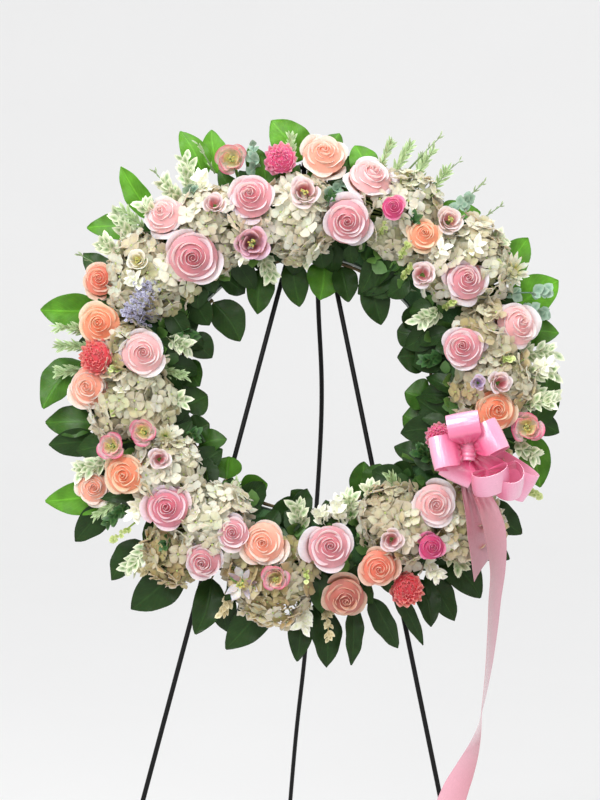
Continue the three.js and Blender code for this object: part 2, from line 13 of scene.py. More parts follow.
import bpy
import numpy as np
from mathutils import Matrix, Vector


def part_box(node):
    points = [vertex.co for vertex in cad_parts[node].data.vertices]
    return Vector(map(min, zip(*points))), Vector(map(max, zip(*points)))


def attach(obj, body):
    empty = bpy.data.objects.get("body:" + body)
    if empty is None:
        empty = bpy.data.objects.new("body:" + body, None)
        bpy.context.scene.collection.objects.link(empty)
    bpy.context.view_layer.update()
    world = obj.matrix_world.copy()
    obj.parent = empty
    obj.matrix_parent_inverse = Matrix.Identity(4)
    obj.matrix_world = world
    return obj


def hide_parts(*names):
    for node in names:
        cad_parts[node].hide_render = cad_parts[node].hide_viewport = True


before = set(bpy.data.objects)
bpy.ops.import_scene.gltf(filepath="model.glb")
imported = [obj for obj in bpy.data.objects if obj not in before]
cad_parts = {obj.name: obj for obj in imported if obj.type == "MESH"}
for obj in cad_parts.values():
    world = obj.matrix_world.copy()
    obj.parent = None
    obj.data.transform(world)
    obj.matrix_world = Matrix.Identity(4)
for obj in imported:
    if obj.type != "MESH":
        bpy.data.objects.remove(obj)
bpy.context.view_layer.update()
log = logging.getLogger("wreath")

Array = np.ndarray
Rng = np.random.Generator
Material = bpy.types.Material
Triple = tuple[float, float, float]
MM = 0.001  # metres
SHARP_ANGLE = 62.0  # degrees between two faces, past which their edge isn't smoothed
FULL_TURN = 6.28  # radians
GOLDEN_ANGLE = 2.39996  # radians between what is set one after another round an axis
FRONT_BODY = "wreath_and_front_legs"
REAR_BODY = "rear_leg"

# The wreath's driving sizes, in millimetres and degrees.
LEAN = 10.0
APEX_Y = 272.0
LEG_Z = -3.3
RING_R = 200.0
FOAM_TOP = 45.0
CORE_Z = 20.0
DOME_SIDE = 98.0
DOME_RISE = 88.0
HEAD_TILT = 30.0
TWIG_Z = 22.0
OUTER_TWIG_R = 250.0
INNER_TWIG_R = 155.5
RIBBON_WIDTH = 38.0


def linear(red: float, green: float, blue: float) -> Array:
    """A display colour as linear light."""
    c = np.array([red, green, blue], float)
    return np.where(c <= 0.04045, c / 12.92, ((c + 0.055) / 1.055) ** 2.4)


def unit(v: Array) -> Array:
    """Vectors scaled to length 1 along the last axis."""
    return v / np.maximum(np.linalg.norm(v, axis=-1, keepdims=True), 1e-9)


def polar(angle: Array | float, radius: Array | float, z: Array | float = 0.0) -> Array:
    """Points round the ring's centre, in millimetres.

    Args:
        angle: in degrees from the x axis, towards y.
        radius: distance from the ring's axis.
        z: height over the ring's back.

    Returns:
        The points (..., 3).
    """
    a = np.radians(angle)
    x, y, z = np.broadcast_arrays(radius * np.cos(a), radius * np.sin(a), z)
    return np.stack([x, y, z], axis=-1).astype(float)


def mix(a: Array, b: Array, share: Array) -> Array:
    """Blend of a and b by a share that is spread over the last axis."""
    s = np.asarray(share, float)[..., None]
    return a * (1 - s) + b * s


def basis(axis: Array, spin: Array | float = 0.0) -> Array:
    """Turning matrices whose third row is an axis.

    The second row is the unit vector across the axis and the wreath's x or y, the first completes
    a right-handed set, and both are spun about the axis.

    Args:
        axis: directions (..., 3).
        spin: in radians.

    Returns:
        Matrices (..., 3, 3) that turn row vectors.
    """
    z = unit(np.asarray(axis, float))
    away = np.where(np.abs(z[..., :1]) < 0.8, np.array([1.0, 0, 0]), np.array([0, 1.0, 0]))
    y = unit(np.cross(z, away))
    x = np.cross(y, z)
    c, s = np.cos(spin), np.sin(spin)
    c, s = np.asarray(c)[..., None], np.asarray(s)[..., None]
    return np.stack([c * x + s * y, c * y - s * x, z + 0 * x], axis=-2)


def turned_about(across: Array, up: Array, angle: Array) -> tuple[Array, Array]:
    """Two perpendicular directions turned in their plane by an angle in radians."""
    c, s = np.cos(angle)[:, None], np.sin(angle)[:, None]
    return c * across + s * up, c * up - s * across


def put(points: Array, centre: Array, turn: Array, size: Array | float = 1.0) -> Array:
    """Local points scaled, turned and moved to their places.

    Args:
        points: k sets (k, ..., 3).
        centre: where each set goes (k, 3), or all of them (3,).
        turn: a turning matrix for each set.
        size: a scale for each set, or for all of them.

    Returns:
        The points, in the same shape.
    """
    k = len(points)
    flat = points.reshape(k, -1, 3) * np.broadcast_to(size, (k,))[:, None, None]
    turned = flat @ turn + np.broadcast_to(centre, (k, 3))[:, None, :]
    return turned.reshape(points.shape)


def smooth_path(knots: Array, steps: int) -> Array:
    """Catmull-Rom curve: between two knots, the cubic that takes their chord tangents.

    Args:
        knots: what the curve passes through (n, d).
        steps: of the curve, spread evenly over the knots.

    Returns:
        Points (steps + 1, d).
    """
    p = np.concatenate([2 * knots[:1] - knots[1:2], knots, 2 * knots[-1:] - knots[-2:-1]])
    place = np.linspace(0, len(knots) - 1, steps + 1)
    i = np.minimum(place.astype(int), len(knots) - 2)
    t = (place - i)[:, None]
    a, b, c, d = p[i], p[i + 1], p[i + 2], p[i + 3]
    return 0.5 * (
        2 * b + (c - a) * t + (2 * a - 5 * b + 4 * c - d) * t**2 + (3 * b - a - 3 * c + d) * t**3
    )


def show(name: str, data: bpy.types.ID) -> bpy.types.Object:
    """A new object in the scene.

    Args:
        name: of the object.
        data: its mesh, lamp or camera.

    Returns:
        The object.
    """
    made = bpy.data.objects.new(name, data)
    bpy.context.scene.collection.objects.link(made)
    return made


@dataclass(frozen=True)
class WreathFrame:
    """The wreath's leaning frame in the world.

    Attributes:
        hinge: the middle of the hinge pin, in metres.
        lean: how far the wreath leans back, in degrees.
    """

    hinge: Array
    lean: float = LEAN

    def axes(self) -> Array:
        """Rows: the wreath's x, y and z directions in the world."""
        c, s = math.cos(math.radians(self.lean)), math.sin(math.radians(self.lean))
        return np.array([[1.0, 0, 0], [0, s, c], [0, -c, s]])

    def place(self, points: Array) -> Array:
        """Wreath points in millimetres as world points in metres."""
        local = points - np.array([0.0, APEX_Y, LEG_Z])
        return self.hinge + (local * MM) @ self.axes()


def hinge_centre() -> Array:
    """The middle of the hinge pin, from the frame."""
    low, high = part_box("hinge_pin")
    return (np.array(low) + np.array(high)) / 2


WREATH = WreathFrame(hinge_centre())


# --- surfaces ----------------------------------------------------------------------------


@dataclass
class Patch:
    """A closed surface in the wreath's frame, ready to be joined into a piece.

    Attributes:
        points: the vertices (n, 3), in millimetres.
        faces: four corners a row, with -1 last for a triangle.
        surface: the patch's own coordinate (across, along) at each vertex.
        tint: the linear colour at each vertex.
        finish: which of the piece's finishes it has.
    """

    points: Array
    faces: Array
    surface: Array
    tint: Array
    finish: int = 0


def closed_sheets(
    front: Array,
    thickness: Array | float,
    surface: Array,
    tint: Array,
    finish: int = 0,
    back_tint: Array | None = None,
) -> Patch:
    """Thin closed shells from k grids of points (k, rows, columns, 3).

    Each shell's faces lie half the thickness either side of the grid, along the cross product
    of its two directions, and a rim joins them.

    Args:
        front: the middle surfaces.
        thickness: in millimetres, one value or one for each grid point.
        surface: (rows, columns, 2) or (k, rows, columns, 2) coordinates.
        tint: colours that spread to (k, rows, columns, 3).
        finish: number of the piece's material.
        back_tint: colours of the back, if they differ.

    Returns:
        One patch that holds all the shells.
    """
    k, n, m, _ = front.shape
    along = np.gradient(front, axis=1)
    across = np.gradient(front, axis=2)
    normal = unit(np.cross(across, along))
    half = np.broadcast_to(np.asarray(thickness, float) / 2, (k, n, m))[..., None]
    count = k * n * m
    points = np.concatenate([front + normal * half, front - normal * half]).reshape(-1, 3)
    idx = np.arange(count).reshape(k, n, m)
    quads = np.stack([idx[:, :-1, :-1], idx[:, :-1, 1:], idx[:, 1:, 1:], idx[:, 1:, :-1]], axis=-1)
    quads = quads.reshape(-1, 4)
    edge = np.concatenate(
        [idx[:, 0, :], idx[:, 1:, -1], idx[:, -1, -2::-1], idx[:, -2::-1, 0]], axis=1
    )
    a, b = edge[:, :-1].ravel(), edge[:, 1:].ravel()
    rim = np.stack([a, a + count, b + count, b], axis=-1)
    faces = np.concatenate([quads, quads[:, ::-1] + count, rim])
    uv = np.broadcast_to(surface, (k, n, m, 2)).reshape(-1, 2)
    colour = np.broadcast_to(tint, (k, n, m, 3)).reshape(-1, 3)
    back = colour if back_tint is None else np.broadcast_to(back_tint, (k, n, m, 3)).reshape(-1, 3)
    return Patch(points, faces, np.tile(uv, (2, 1)), np.concatenate([colour, back]), finish)


def tubes(path: Array, radius: Array, sides: int, tint: Array, finish: int = 0) -> Patch:
    """Closed round tubes: circles across the path's direction, and a middle point at each end.

    Args:
        path: the middle lines of k tubes (k, n, 3).
        radius: in millimetres, at each point (k, n).
        sides: faces round a tube.
        tint: colours that spread to (k, n, sides, 3).
        finish: number of the piece's material.

    Returns:
        One patch that holds all the tubes.
    """
    k, n, _ = path.shape
    along = unit(np.gradient(path, axis=1))
    chord = unit(path[:, -1:] - path[:, :1] + 1e-6)
    away = np.where(np.abs(chord[..., 2:]) < 0.75, np.array([0, 0, 1.0]), np.array([1.0, 0, 0]))
    u = unit(np.cross(along, np.broadcast_to(away, along.shape)))
    v = np.cross(along, u)
    a = 2 * np.pi * np.arange(sides) / sides
    ring = u[:, :, None] * np.cos(a)[:, None] + v[:, :, None] * np.sin(a)[:, None]
    skin = path[:, :, None] + ring * np.asarray(radius, float).reshape(-1, n, 1, 1)
    count = k * n * sides
    idx = np.arange(count).reshape(k, n, sides)
    nxt = np.roll(idx, -1, axis=2)
    foot = np.broadcast_to((count + np.arange(k))[:, None], (k, sides))
    none = np.full((k, sides), -1)
    faces = [
        np.stack([idx[:, :-1], nxt[:, :-1], nxt[:, 1:], idx[:, 1:]], axis=-1).reshape(-1, 4),
        np.stack([nxt[:, 0], idx[:, 0], foot, none], axis=-1).reshape(-1, 4),
        np.stack([idx[:, -1], nxt[:, -1], foot + k, none], axis=-1).reshape(-1, 4),
    ]
    points = np.concatenate([skin.reshape(-1, 3), path[:, 0], path[:, -1]])
    share = np.linspace(0, 1, n)[:, None]
    uv = np.stack(np.broadcast_arrays(np.arange(sides) / sides, share, skin[..., 0]), axis=-1)
    uv = np.concatenate([uv[..., :2].reshape(-1, 2), np.zeros((k, 2)), np.ones((k, 2))])
    colour = np.broadcast_to(tint, skin.shape)
    colour = np.concatenate([colour.reshape(-1, 3), colour[:, 0, 0], colour[:, -1, 0]])
    return Patch(points, np.concatenate(faces), uv, colour, finish)


def lenses(
    outline: Array, top: Array, bottom: Array, rim_tint: Array, tint: Array, finish: int = 0
) -> Patch:
    """Small closed leaves or petals of few faces: fans from two middle points to one rim.

    Args:
        outline: rims (k, n, 3), anticlockwise seen from the top.
        top: the k points that crown the upper faces.
        bottom: the k points under the lower faces.
        rim_tint: colour at the rim, (k, 3) or (3,).
        tint: colour at the two middle points, (k, 3) or (3,).
        finish: number of the piece's material.

    Returns:
        One patch that holds all of them.
    """
    k, n, _ = outline.shape
    idx = np.arange(k * n).reshape(k, n)
    nxt = np.roll(idx, -1, axis=1)
    up = np.broadcast_to((k * n + np.arange(k))[:, None], (k, n))
    none = np.full((k, n), -1)
    fans = [np.stack(fan, axis=-1) for fan in ((idx, nxt, up, none), (nxt, idx, up + k, none))]
    a = 2 * np.pi * np.arange(n) / n
    rim_uv = np.broadcast_to(np.stack([np.cos(a), np.sin(a)], axis=-1), (k, n, 2)).reshape(-1, 2)
    rim = np.broadcast_to(np.broadcast_to(rim_tint, (k, 3))[:, None], (k, n, 3)).reshape(-1, 3)
    middle = np.broadcast_to(tint, (k, 3))
    return Patch(
        np.concatenate([outline.reshape(-1, 3), top, bottom]),
        np.concatenate(fans).reshape(-1, 4),
        np.concatenate([rim_uv, np.zeros((2 * k, 2))]),
        np.concatenate([rim, middle, middle]),
        finish,
    )


def make_piece(
    name: str,
    patches: list[Patch],
    finishes: list[Material],
    body: str = FRONT_BODY,
    stands_for: tuple[str, ...] = (),
) -> bpy.types.Object:
    """Joins patches into one object in the world, gives it its finishes and hangs it on a body.

    Args:
        name: the piece's name.
        patches: closed surfaces in the wreath's frame.
        finishes: materials, numbered as the patches' finish.
        body: the moving body that the piece rides on.
        stands_for: the plain solids that the piece takes the place of.

    Returns:
        The new object.
    """
    starts = np.cumsum([0] + [len(p.points) for p in patches[:-1]])
    points = np.concatenate([p.points for p in patches])
    faces = np.concatenate([np.where(p.faces < 0, -1, p.faces + i) for p, i in zip(patches, starts)])
    number = np.concatenate([np.full(len(p.faces), p.finish) for p in patches])
    corners = faces.ravel()
    corners = corners[corners >= 0]
    total = (faces >= 0).sum(axis=1)
    mesh = bpy.data.meshes.new(name)
    mesh.vertices.add(len(points))
    mesh.vertices.foreach_set("co", WREATH.place(points).astype(np.float32).ravel())
    mesh.loops.add(len(corners))
    mesh.loops.foreach_set("vertex_index", corners.astype(np.int32))
    mesh.polygons.add(len(faces))
    loop_start = np.concatenate([[0], np.cumsum(total)[:-1]])
    mesh.polygons.foreach_set("loop_start", loop_start.astype(np.int32))
    mesh.update(calc_edges=True)
    mesh.polygons.foreach_set("material_index", number.astype(np.int32))
    mesh.polygons.foreach_set("use_smooth", np.ones(len(faces), bool))
    surface = np.concatenate([p.surface for p in patches])[corners]
    uv = mesh.uv_layers.new(name="surface")
    uv.data.foreach_set("uv", surface.astype(np.float32).ravel())
    colour = np.concatenate([p.tint for p in patches])
    colour = np.column_stack([colour, np.ones(len(colour))])
    tint = mesh.attributes.new("tint", "FLOAT_COLOR", "POINT")
    tint.data.foreach_set("color", colour.astype(np.float32).ravel())
    mesh.validate()
    mesh.set_sharp_from_angle(angle=math.radians(SHARP_ANGLE))
    for material in finishes:
        mesh.materials.append(material)
    piece = show(name, mesh)
    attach(piece, body)
    if stands_for:
        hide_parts(*stands_for)
    log.info("%s: %d faces", name, len(faces))
    return piece


# --- finishes ----------------------------------------------------------------------------


Socket = bpy.types.NodeSocket
NOISE_RANGE = (0.3, 0.7)  # where nearly all values of a noise lie


@dataclass(frozen=True)
class Paint:
    """A node material that is being put together round its principled shader.

    Attributes:
        material: the material.
    """

    material: Material

    @classmethod
    def new(cls, name: str) -> "Paint":
        """An empty material with its shader.

        Args:
            name: of the material.

        Returns:
            The start of the material.
        """
        material = bpy.data.materials.new(name)
        material.use_nodes = True
        return cls(material)

    def feed(self, target: Socket, value: object) -> None:
        """Joins a socket to an input, or sets the input's own value.

        Args:
            target: the input.
            value: an output that feeds it, or a value.
        """
        if isinstance(value, Socket):
            self.material.node_tree.links.new(value, target)
        else:
            target.default_value = value

    def node(self, kind: str, inputs: dict[int | str, object], **values: object) -> bpy.types.Node:
        """A new node.

        Args:
            kind: its type, without the prefix that all share.
            inputs: a socket or a value for each input, by place or name.
            values: its properties.

        Returns:
            The node.
        """
        made = self.material.node_tree.nodes.new("ShaderNode" + kind)
        for name, value in values.items():
            setattr(made, name, value)
        for place, value in inputs.items():
            self.feed(made.inputs[place], value)
        return made

    def math(self, operation: str, *inputs: Socket | float) -> Socket:
        """The result of an operation on sockets and numbers."""
        return self.node("Math", dict(enumerate(inputs)), operation=operation).outputs[0]

    def place(self, kind: str) -> Socket:
        """The piece's Object or UV coordinates."""
        return self.node("TexCoord", {}).outputs[kind]

    def noise(self, scale: Triple, detail: float, kind: str) -> Socket:
        """Noise, stretched by a scale along one kind of coordinates."""
        stretched = self.node("Mapping", {0: self.place(kind), 3: scale}).outputs[0]
        return self.node("TexNoise", {0: stretched, 2: 1.0, 3: detail}).outputs["Fac"]

    def spread(
        self, source: Socket, low: float, high: float, run: tuple[float, float] = NOISE_RANGE
    ) -> Socket:
        """A value with its own run, brought to run from low to high."""
        return self.node("MapRange", {0: source, 1: run[0], 2: run[1], 3: low, 4: high}).outputs[0]

    def tint(self) -> Socket:
        """The colour that a piece has at its vertices."""
        return self.node("Attribute", {}, attribute_name="tint").outputs["Color"]

    def finish(
        self, colour: Socket | Triple, shade: Socket, height: Socket,
        bump: tuple[float, float], sockets: dict[str, object],
    ) -> Material:
        """Feeds the shader.

        Args:
            colour: linear colour.
            shade: what the colour is multiplied by.
            height: relief.
            bump: the relief's strength, and its depth in metres.
            sockets: values for the shader's own sockets.

        Returns:
            The finished material.
        """
        skin = self.material.node_tree.nodes["Principled BSDF"]
        shaded = self.node("VectorMath", {0: colour, "Scale": shade}, operation="SCALE")
        relief = self.node("Bump", {0: bump[0], 1: bump[1], "Height": height})
        self.feed(skin.inputs["Base Color"], shaded.outputs[0])
        self.feed(skin.inputs["Normal"], relief.outputs[0])
        for name, value in sockets.items():
            skin.inputs[name].default_value = value
        return self.material


@dataclass(frozen=True)
class PlantFinish:
    """A petal or leaf skin: the vertex tint, mottled, with fine ribs along the surface.

    Attributes:
        name: the material's name.
        roughness: of the skin.
        mottle: how far its spots are lighter and darker.
        ribs: their number across the surface, roughly.
        rib_height: strength of the ribs' relief.
        glow: how much light goes through.
        sheen: velvet sheen.
        coat: waxy coat.
    """

    name: str
    roughness: float
    mottle: float
    ribs: float
    rib_height: float
    glow: float
    sheen: float = 0.0
    coat: float = 0.0

    def build(self) -> Material:
        """Makes the material."""
        paint = Paint.new(self.name)
        mottle = self.mottle
        spots = paint.spread(paint.noise((260, 260, 260), 3.0, "Object"), 1 - mottle, 1 + mottle)
        ribs = paint.noise((self.ribs, 1.6, 1), 2.0, "UV")
        shade = paint.math("MULTIPLY", spots, paint.spread(ribs, 1 - mottle / 2, 1 + mottle / 2))
        sockets = {
            "Roughness": self.roughness,
            "Subsurface Weight": self.glow,
            "Subsurface Radius": (1.0, 0.55, 0.4),
            "Subsurface Scale": 0.005,
            "Sheen Weight": self.sheen,
            "Coat Weight": self.coat,
            "Coat Roughness": 0.25,
        }
        return paint.finish(paint.tint(), shade, ribs, (self.rib_height, 0.0006), sockets)


@dataclass(frozen=True)
class LeafFinish:
    """A leathery leaf: the vertex tint with a pale midrib and side veins, and a waxy coat.

    Attributes:
        name: the material's name.
        veins: pairs of side veins.
        slant: how far a vein runs back towards the foot, for each unit of the half width.
        vein_share: how pale a side vein is, against the midrib.
        paler: how much the midrib brightens the blade.
    """

    name: str = "salal"
    veins: float = 9.0
    slant: float = 0.42
    vein_share: float = 0.45
    paler: float = 0.38

    def build(self) -> Material:
        """Makes the material: side veins are lines of v - slant |u|, and the midrib is u near 0."""
        paint = Paint.new(self.name)
        split = paint.node("SeparateXYZ", {0: paint.place("UV")})
        side = paint.math("ABSOLUTE", split.outputs["X"])
        slanted = paint.math("MULTIPLY_ADD", side, -self.slant, split.outputs["Y"])
        saw = paint.math("PINGPONG", paint.math("MULTIPLY", slanted, self.veins), 0.5)
        vein = paint.spread(saw, 1.0, 0.0, run=(0.0, 0.09))
        rib = paint.spread(side, 1.0, 0.0, run=(0.02, 0.09))
        lines = paint.math("MULTIPLY_ADD", vein, self.vein_share, rib)
        spots = paint.spread(paint.noise((90, 90, 90), 4.0, "Object"), 0.82, 1.16)
        shade = paint.math("MULTIPLY_ADD", lines, self.paler, spots)
        sockets = {
            "Roughness": 0.36,
            "Specular IOR Level": 0.16,
            "Coat Weight": 0.03,
            "Coat Roughness": 0.22,
            "Subsurface Weight": 0.08,
            "Subsurface Scale": 0.002,
        }
        return paint.finish(paint.tint(), shade, lines, (0.35, 0.0007), sockets)


@dataclass(frozen=True)
class SatinFinish:
    """Satin ribbon: fine threads along it, slight waves, and a soft broad gloss.

    Attributes:
        name: the material's name.
        roughness: of the satin.
        waves: height of the waves against that of the threads.
    """

    name: str = "satin"
    roughness: float = 0.26
    waves: float = 4.0

    def build(self) -> Material:
        """Makes the material. Threads are noise that is drawn out along the ribbon."""
        paint = Paint.new(self.name)
        threads = paint.noise((90, 5, 1), 2.0, "UV")
        relief = paint.math("MULTIPLY_ADD", paint.noise((2.2, 9, 1), 2.0, "UV"), self.waves, threads)
        sockets = {
            "Roughness": self.roughness,
            "Specular IOR Level": 1.0,
            "Coat Weight": 0.8,
            "Coat Roughness": 0.2,
            "Sheen Weight": 0.2,
            "Sheen Roughness": 0.3,
        }
        return paint.finish(paint.tint(), paint.spread(threads, 0.93, 1.06), relief, (0.25, 0.0006), sockets)


@dataclass(frozen=True)
class PlainFinish:
    """A coloured solid with grain: painted wire, moulded plastic, foam or floor.

    Attributes:
        name: the material's name.
        colour: its display colour.
        roughness: of its surface.
        grain: how fine its grain is.
        bump: strength and depth in metres of the grain's relief.
        spread: how far the grain is lighter and darker.
        gloss: specular level.
        glow: light of its own.
    """

    name: str
    colour: Triple
    roughness: float
    grain: float
    bump: tuple[float, float]
    spread: float = 0.12
    gloss: float = 0.5
    glow: float = 0.0

    def build(self) -> Material:
        """Makes the material."""
        paint = Paint.new(self.name)
        fine = paint.noise((self.grain, self.grain, self.grain), 3.0, "Object")
        shade = paint.spread(fine, 1 - self.spread, 1 + self.spread)
        sockets = {
            "Roughness": self.roughness,
            "Specular IOR Level": self.gloss,
            "Emission Color": (1.0, 1.0, 1.0, 1.0),
            "Emission Strength": self.glow,
        }
        return paint.finish(tuple(linear(*self.colour)), shade, fine, self.bump, sockets)


PETAL = PlantFinish("petal", roughness=0.55, mottle=0.05, ribs=22, rib_height=0.3, glow=0.6, sheen=0.25)
FLORET = PlantFinish("floret", roughness=0.65, mottle=0.06, ribs=6, rib_height=0.2, glow=0.5, sheen=0.2)
STEM = PlantFinish("stem", roughness=0.8, mottle=0.15, ribs=12, rib_height=0.3, glow=0.05)
SPRIG = PlantFinish("sprig", roughness=0.5, mottle=0.12, ribs=5, rib_height=0.3, glow=0.08, coat=0.15)
BLACK_PAINT = PlainFinish(
    "black_paint", (0.03, 0.03, 0.034), 0.5, 500, (0.15, 0.0002), spread=0.2, gloss=0.22
)
GREEN_PLASTIC = PlainFinish("green_plastic", (0.16, 0.27, 0.17), 0.5, 120, (0.1, 0.0003))
WET_FOAM = PlainFinish("wet_foam", (0.22, 0.36, 0.2), 0.95, 900, (0.6, 0.0008), spread=0.3)
FLOOR_PAPER = PlainFinish("floor_paper", (0.66, 0.66, 0.66), 0.95, 3, (0.05, 0.001), spread=0.01, glow=0.50)


@dataclass(frozen=True)
class Finishes:
    """All the materials of the wreath, made once."""

    petal: Material = field(default_factory=PETAL.build)
    floret: Material = field(default_factory=FLORET.build)
    stem: Material = field(default_factory=STEM.build)
    sprig: Material = field(default_factory=SPRIG.build)
    leaf: Material = field(default_factory=LeafFinish().build)
    satin: Material = field(default_factory=SatinFinish().build)
    wire: Material = field(default_factory=BLACK_PAINT.build)
    tray: Material = field(default_factory=GREEN_PLASTIC.build)
    foam: Material = field(default_factory=WET_FOAM.build)


# --- flowers -----------------------------------------------------------------------------


class Tone(Enum):
    """Colours of a bloom, as display colours: its heart, its outer petals and their rims, whose colour is
    partly their own and partly a painted highlight.
    """

    PEACH = ((0.96, 0.56, 0.45), (0.99, 0.82, 0.74), (1.00, 0.91, 0.84))
    BLUSH = ((0.90, 0.57, 0.58), (0.97, 0.84, 0.83), (1.00, 0.93, 0.91))
    PINK = ((0.78, 0.37, 0.42), (0.93, 0.77, 0.79), (0.99, 0.91, 0.90))
    DEEP = ((0.78, 0.30, 0.39), (0.93, 0.71, 0.76), (0.99, 0.87, 0.89))
    CORAL = ((0.90, 0.38, 0.27), (0.95, 0.66, 0.56), (0.99, 0.80, 0.71))
    APRICOT = ((0.94, 0.46, 0.31), (0.97, 0.75, 0.60), (1.00, 0.87, 0.74))
    # A coral rose darkened all over: a painted shade, for a rose low on the wreath.
    DUSK = ((0.68, 0.30, 0.26), (0.83, 0.56, 0.48), (0.92, 0.72, 0.63))
    MAGENTA = ((0.72, 0.10, 0.34), (0.88, 0.30, 0.54), (0.95, 0.50, 0.68))
    HOT = ((0.86, 0.20, 0.44), (0.95, 0.44, 0.62), (0.98, 0.64, 0.76))
    RED = ((0.82, 0.18, 0.24), (0.92, 0.36, 0.38), (0.96, 0.54, 0.54))
    CREAM_EDGED = ((0.99, 0.93, 0.62), (0.99, 0.92, 0.88), (0.80, 0.12, 0.34))
    HOT_EDGED = ((0.98, 0.92, 0.60), (0.99, 0.88, 0.90), (0.84, 0.06, 0.38))
    CREAM = ((0.90, 0.82, 0.46), (0.97, 0.94, 0.84), (0.99, 0.97, 0.91))
    DARK_HEART = ((0.50, 0.12, 0.26), (0.88, 0.54, 0.66), (0.95, 0.74, 0.81))
    LILAC = ((0.62, 0.48, 0.66), (0.78, 0.66, 0.80), (0.86, 0.77, 0.88))
    PEARL = ((0.62, 0.50, 0.56), (0.93, 0.87, 0.90), (0.98, 0.95, 0.96))
    WHITE = ((0.84, 0.84, 0.50), (0.96, 0.96, 0.90), (0.99, 0.99, 0.96))

    def colours(self) -> tuple[Array, Array, Array]:
        """Heart, outer and rim colours in linear light."""
        heart, outer, rim = (linear(*c) for c in self.value)
        return heart, outer, rim


# A flower whose first rim lies nearer to its axis than this share of the head is packed shut.
OPEN_THROAT = 0.08
# How far under the rims the middle of such a flower lies, as a share of the head.
CORE_DEPTH = 0.08
GREEN_STEM = linear(0.34, 0.50, 0.20)
PETAL_FOOT = linear(0.95, 0.90, 0.66)
# What the colour of a petal is multiplied by where it goes down between its neighbours: a painted shade
# under each rim.
PAINTED_GAP_SHADE = np.array([0.86, 0.58, 0.60])


@dataclass(frozen=True)
class Seat:
    """Where a bloom sits.

    Attributes:
        head: the middle of its head.
        axis: the way it faces.
        entry: where its stem enters the foam.
    """

    head: Array
    axis: Array
    entry: Array


def seat(angle: float, radius: float, rise: float = 0.0) -> Seat:
    """A place on the dome of flowers over the foam.

    The head lies on an ellipse round the foam's core, and faces out of the ring with a tilt that
    grows with its distance from the ring's centre line. Its stem enters the foam on the same
    side of that line, at about a third of the distance.

    Args:
        angle: round the ring, in degrees.
        radius: from the ring's centre, in millimetres.
        rise: over the dome, in millimetres.

    Returns:
        The seat.
    """
    side = float(np.clip((radius - RING_R) / DOME_SIDE, -0.95, 0.95))
    tilt = math.radians(HEAD_TILT * side)
    z = CORE_Z + DOME_RISE * math.sqrt(1 - side * side) + rise
    entry = RING_R + float(np.clip(0.38 * (radius - RING_R), -24, 24))
    axis = polar(angle, math.sin(tilt), math.cos(tilt))
    return Seat(polar(angle, radius, z), axis, polar(angle, entry, FOAM_TOP))


def stem(start: Array, entry: Array, radius: float) -> Patch:
    """A stem that curves down into the foam.

    Args:
        start: the back of the head.
        entry: where it enters the foam.
        radius: in millimetres.

    Returns:
        The stem, which ends inside the foam.
    """
    middle = (start + entry) / 2 + [0, 0, -4]
    path = smooth_path(np.array([start, middle, entry + [0, 0, 4], entry - [0, 0, 14]]), 10)
    return tubes(path[None], np.full((1, 11), radius), 8, GREEN_STEM, 1)


@dataclass(frozen=True)
class PetalPlan:
    """How the petals of a cupped flower are laid, in shares of the head's diameter.

    Attributes:
        count: petals, from the heart out.
        inner, outer: distance of the first and the last rim from the axis.
        spread: power that the distance grows by.
        crown, fall: height of the first rim, and how far the last one lies below it.
        wrap: half the angle that the first and the last petal cover, in radians.
        bud, open: how far the walls stand outside their rims at the heart, and inside them at
            the edge.
        curl: how far the rims roll out.
        ruffle, waves: depth and number of the waves along a rim.
        teeth: depth of the teeth along a rim.
        point: 0 for a round petal, 1 for a pointed one.
        slant: how far one side of a petal tucks under its neighbour, as a share of its distance.
        peak: height of the small tip in the middle of an outer rim.
        edge: where along a petal its rim colour starts, and how strong it is at the heart.
        rows, columns: points along and across a petal.
        thickness: at the foot, in millimetres.
    """

    count: int = 19
    inner: float = 0.018
    outer: float = 0.50
    spread: float = 1.42
    crown: float = 0.26
    fall: float = 0.33
    wrap: tuple[float, float] = (1.7, 0.86)
    bud: float = 0.35
    open: float = 0.30
    curl: float = 0.10
    ruffle: float = 0.02
    waves: float = 3.0
    teeth: float = 0.0
    point: float = 0.0
    slant: float = 0.12
    peak: float = 0.055
    edge: tuple[float, float] = (0.76, 0.40)
    rows: int = 11
    columns: int = 13
    thickness: float = 0.5


ROSE = PetalPlan()
SPRAY_ROSE = PetalPlan(count=16, rows=8, columns=8, curl=0.06)
LISIANTHUS = PetalPlan(
    count=10, inner=0.22, outer=0.46, spread=0.9, crown=0.15, fall=0.16, wrap=(0.95, 0.78),
    bud=0.0, open=0.30, curl=0.08, ruffle=0.03, waves=4.0, slant=0.06, peak=0.03, edge=(0.45, 0.95),
    rows=9, columns=12,
)
CARNATION = PetalPlan(
    count=30, inner=0.05, outer=0.44, spread=0.75, crown=0.32, fall=0.30, wrap=(0.9, 0.62),
    bud=0.0, open=0.22, curl=0.05, ruffle=0.075, waves=9.0, teeth=0.035, slant=0.0, peak=0.0, rows=7,
    columns=21,
)
MUM = PetalPlan(
    count=34, inner=0.10, outer=0.49, spread=0.8, crown=0.20, fall=0.24, wrap=(0.42, 0.20),
    bud=0.0, open=0.1, curl=0.02, ruffle=0.0, point=0.8, slant=0.0, peak=0.0, rows=6, columns=5,
)
STAR = PetalPlan(
    count=8, inner=0.42, outer=0.47, spread=1.0, crown=0.02, fall=0.02, wrap=(0.46, 0.46),
    bud=0.0, open=0.1, curl=0.06, ruffle=0.0, point=1.0, slant=0.0, peak=0.0, rows=8, columns=7,
)


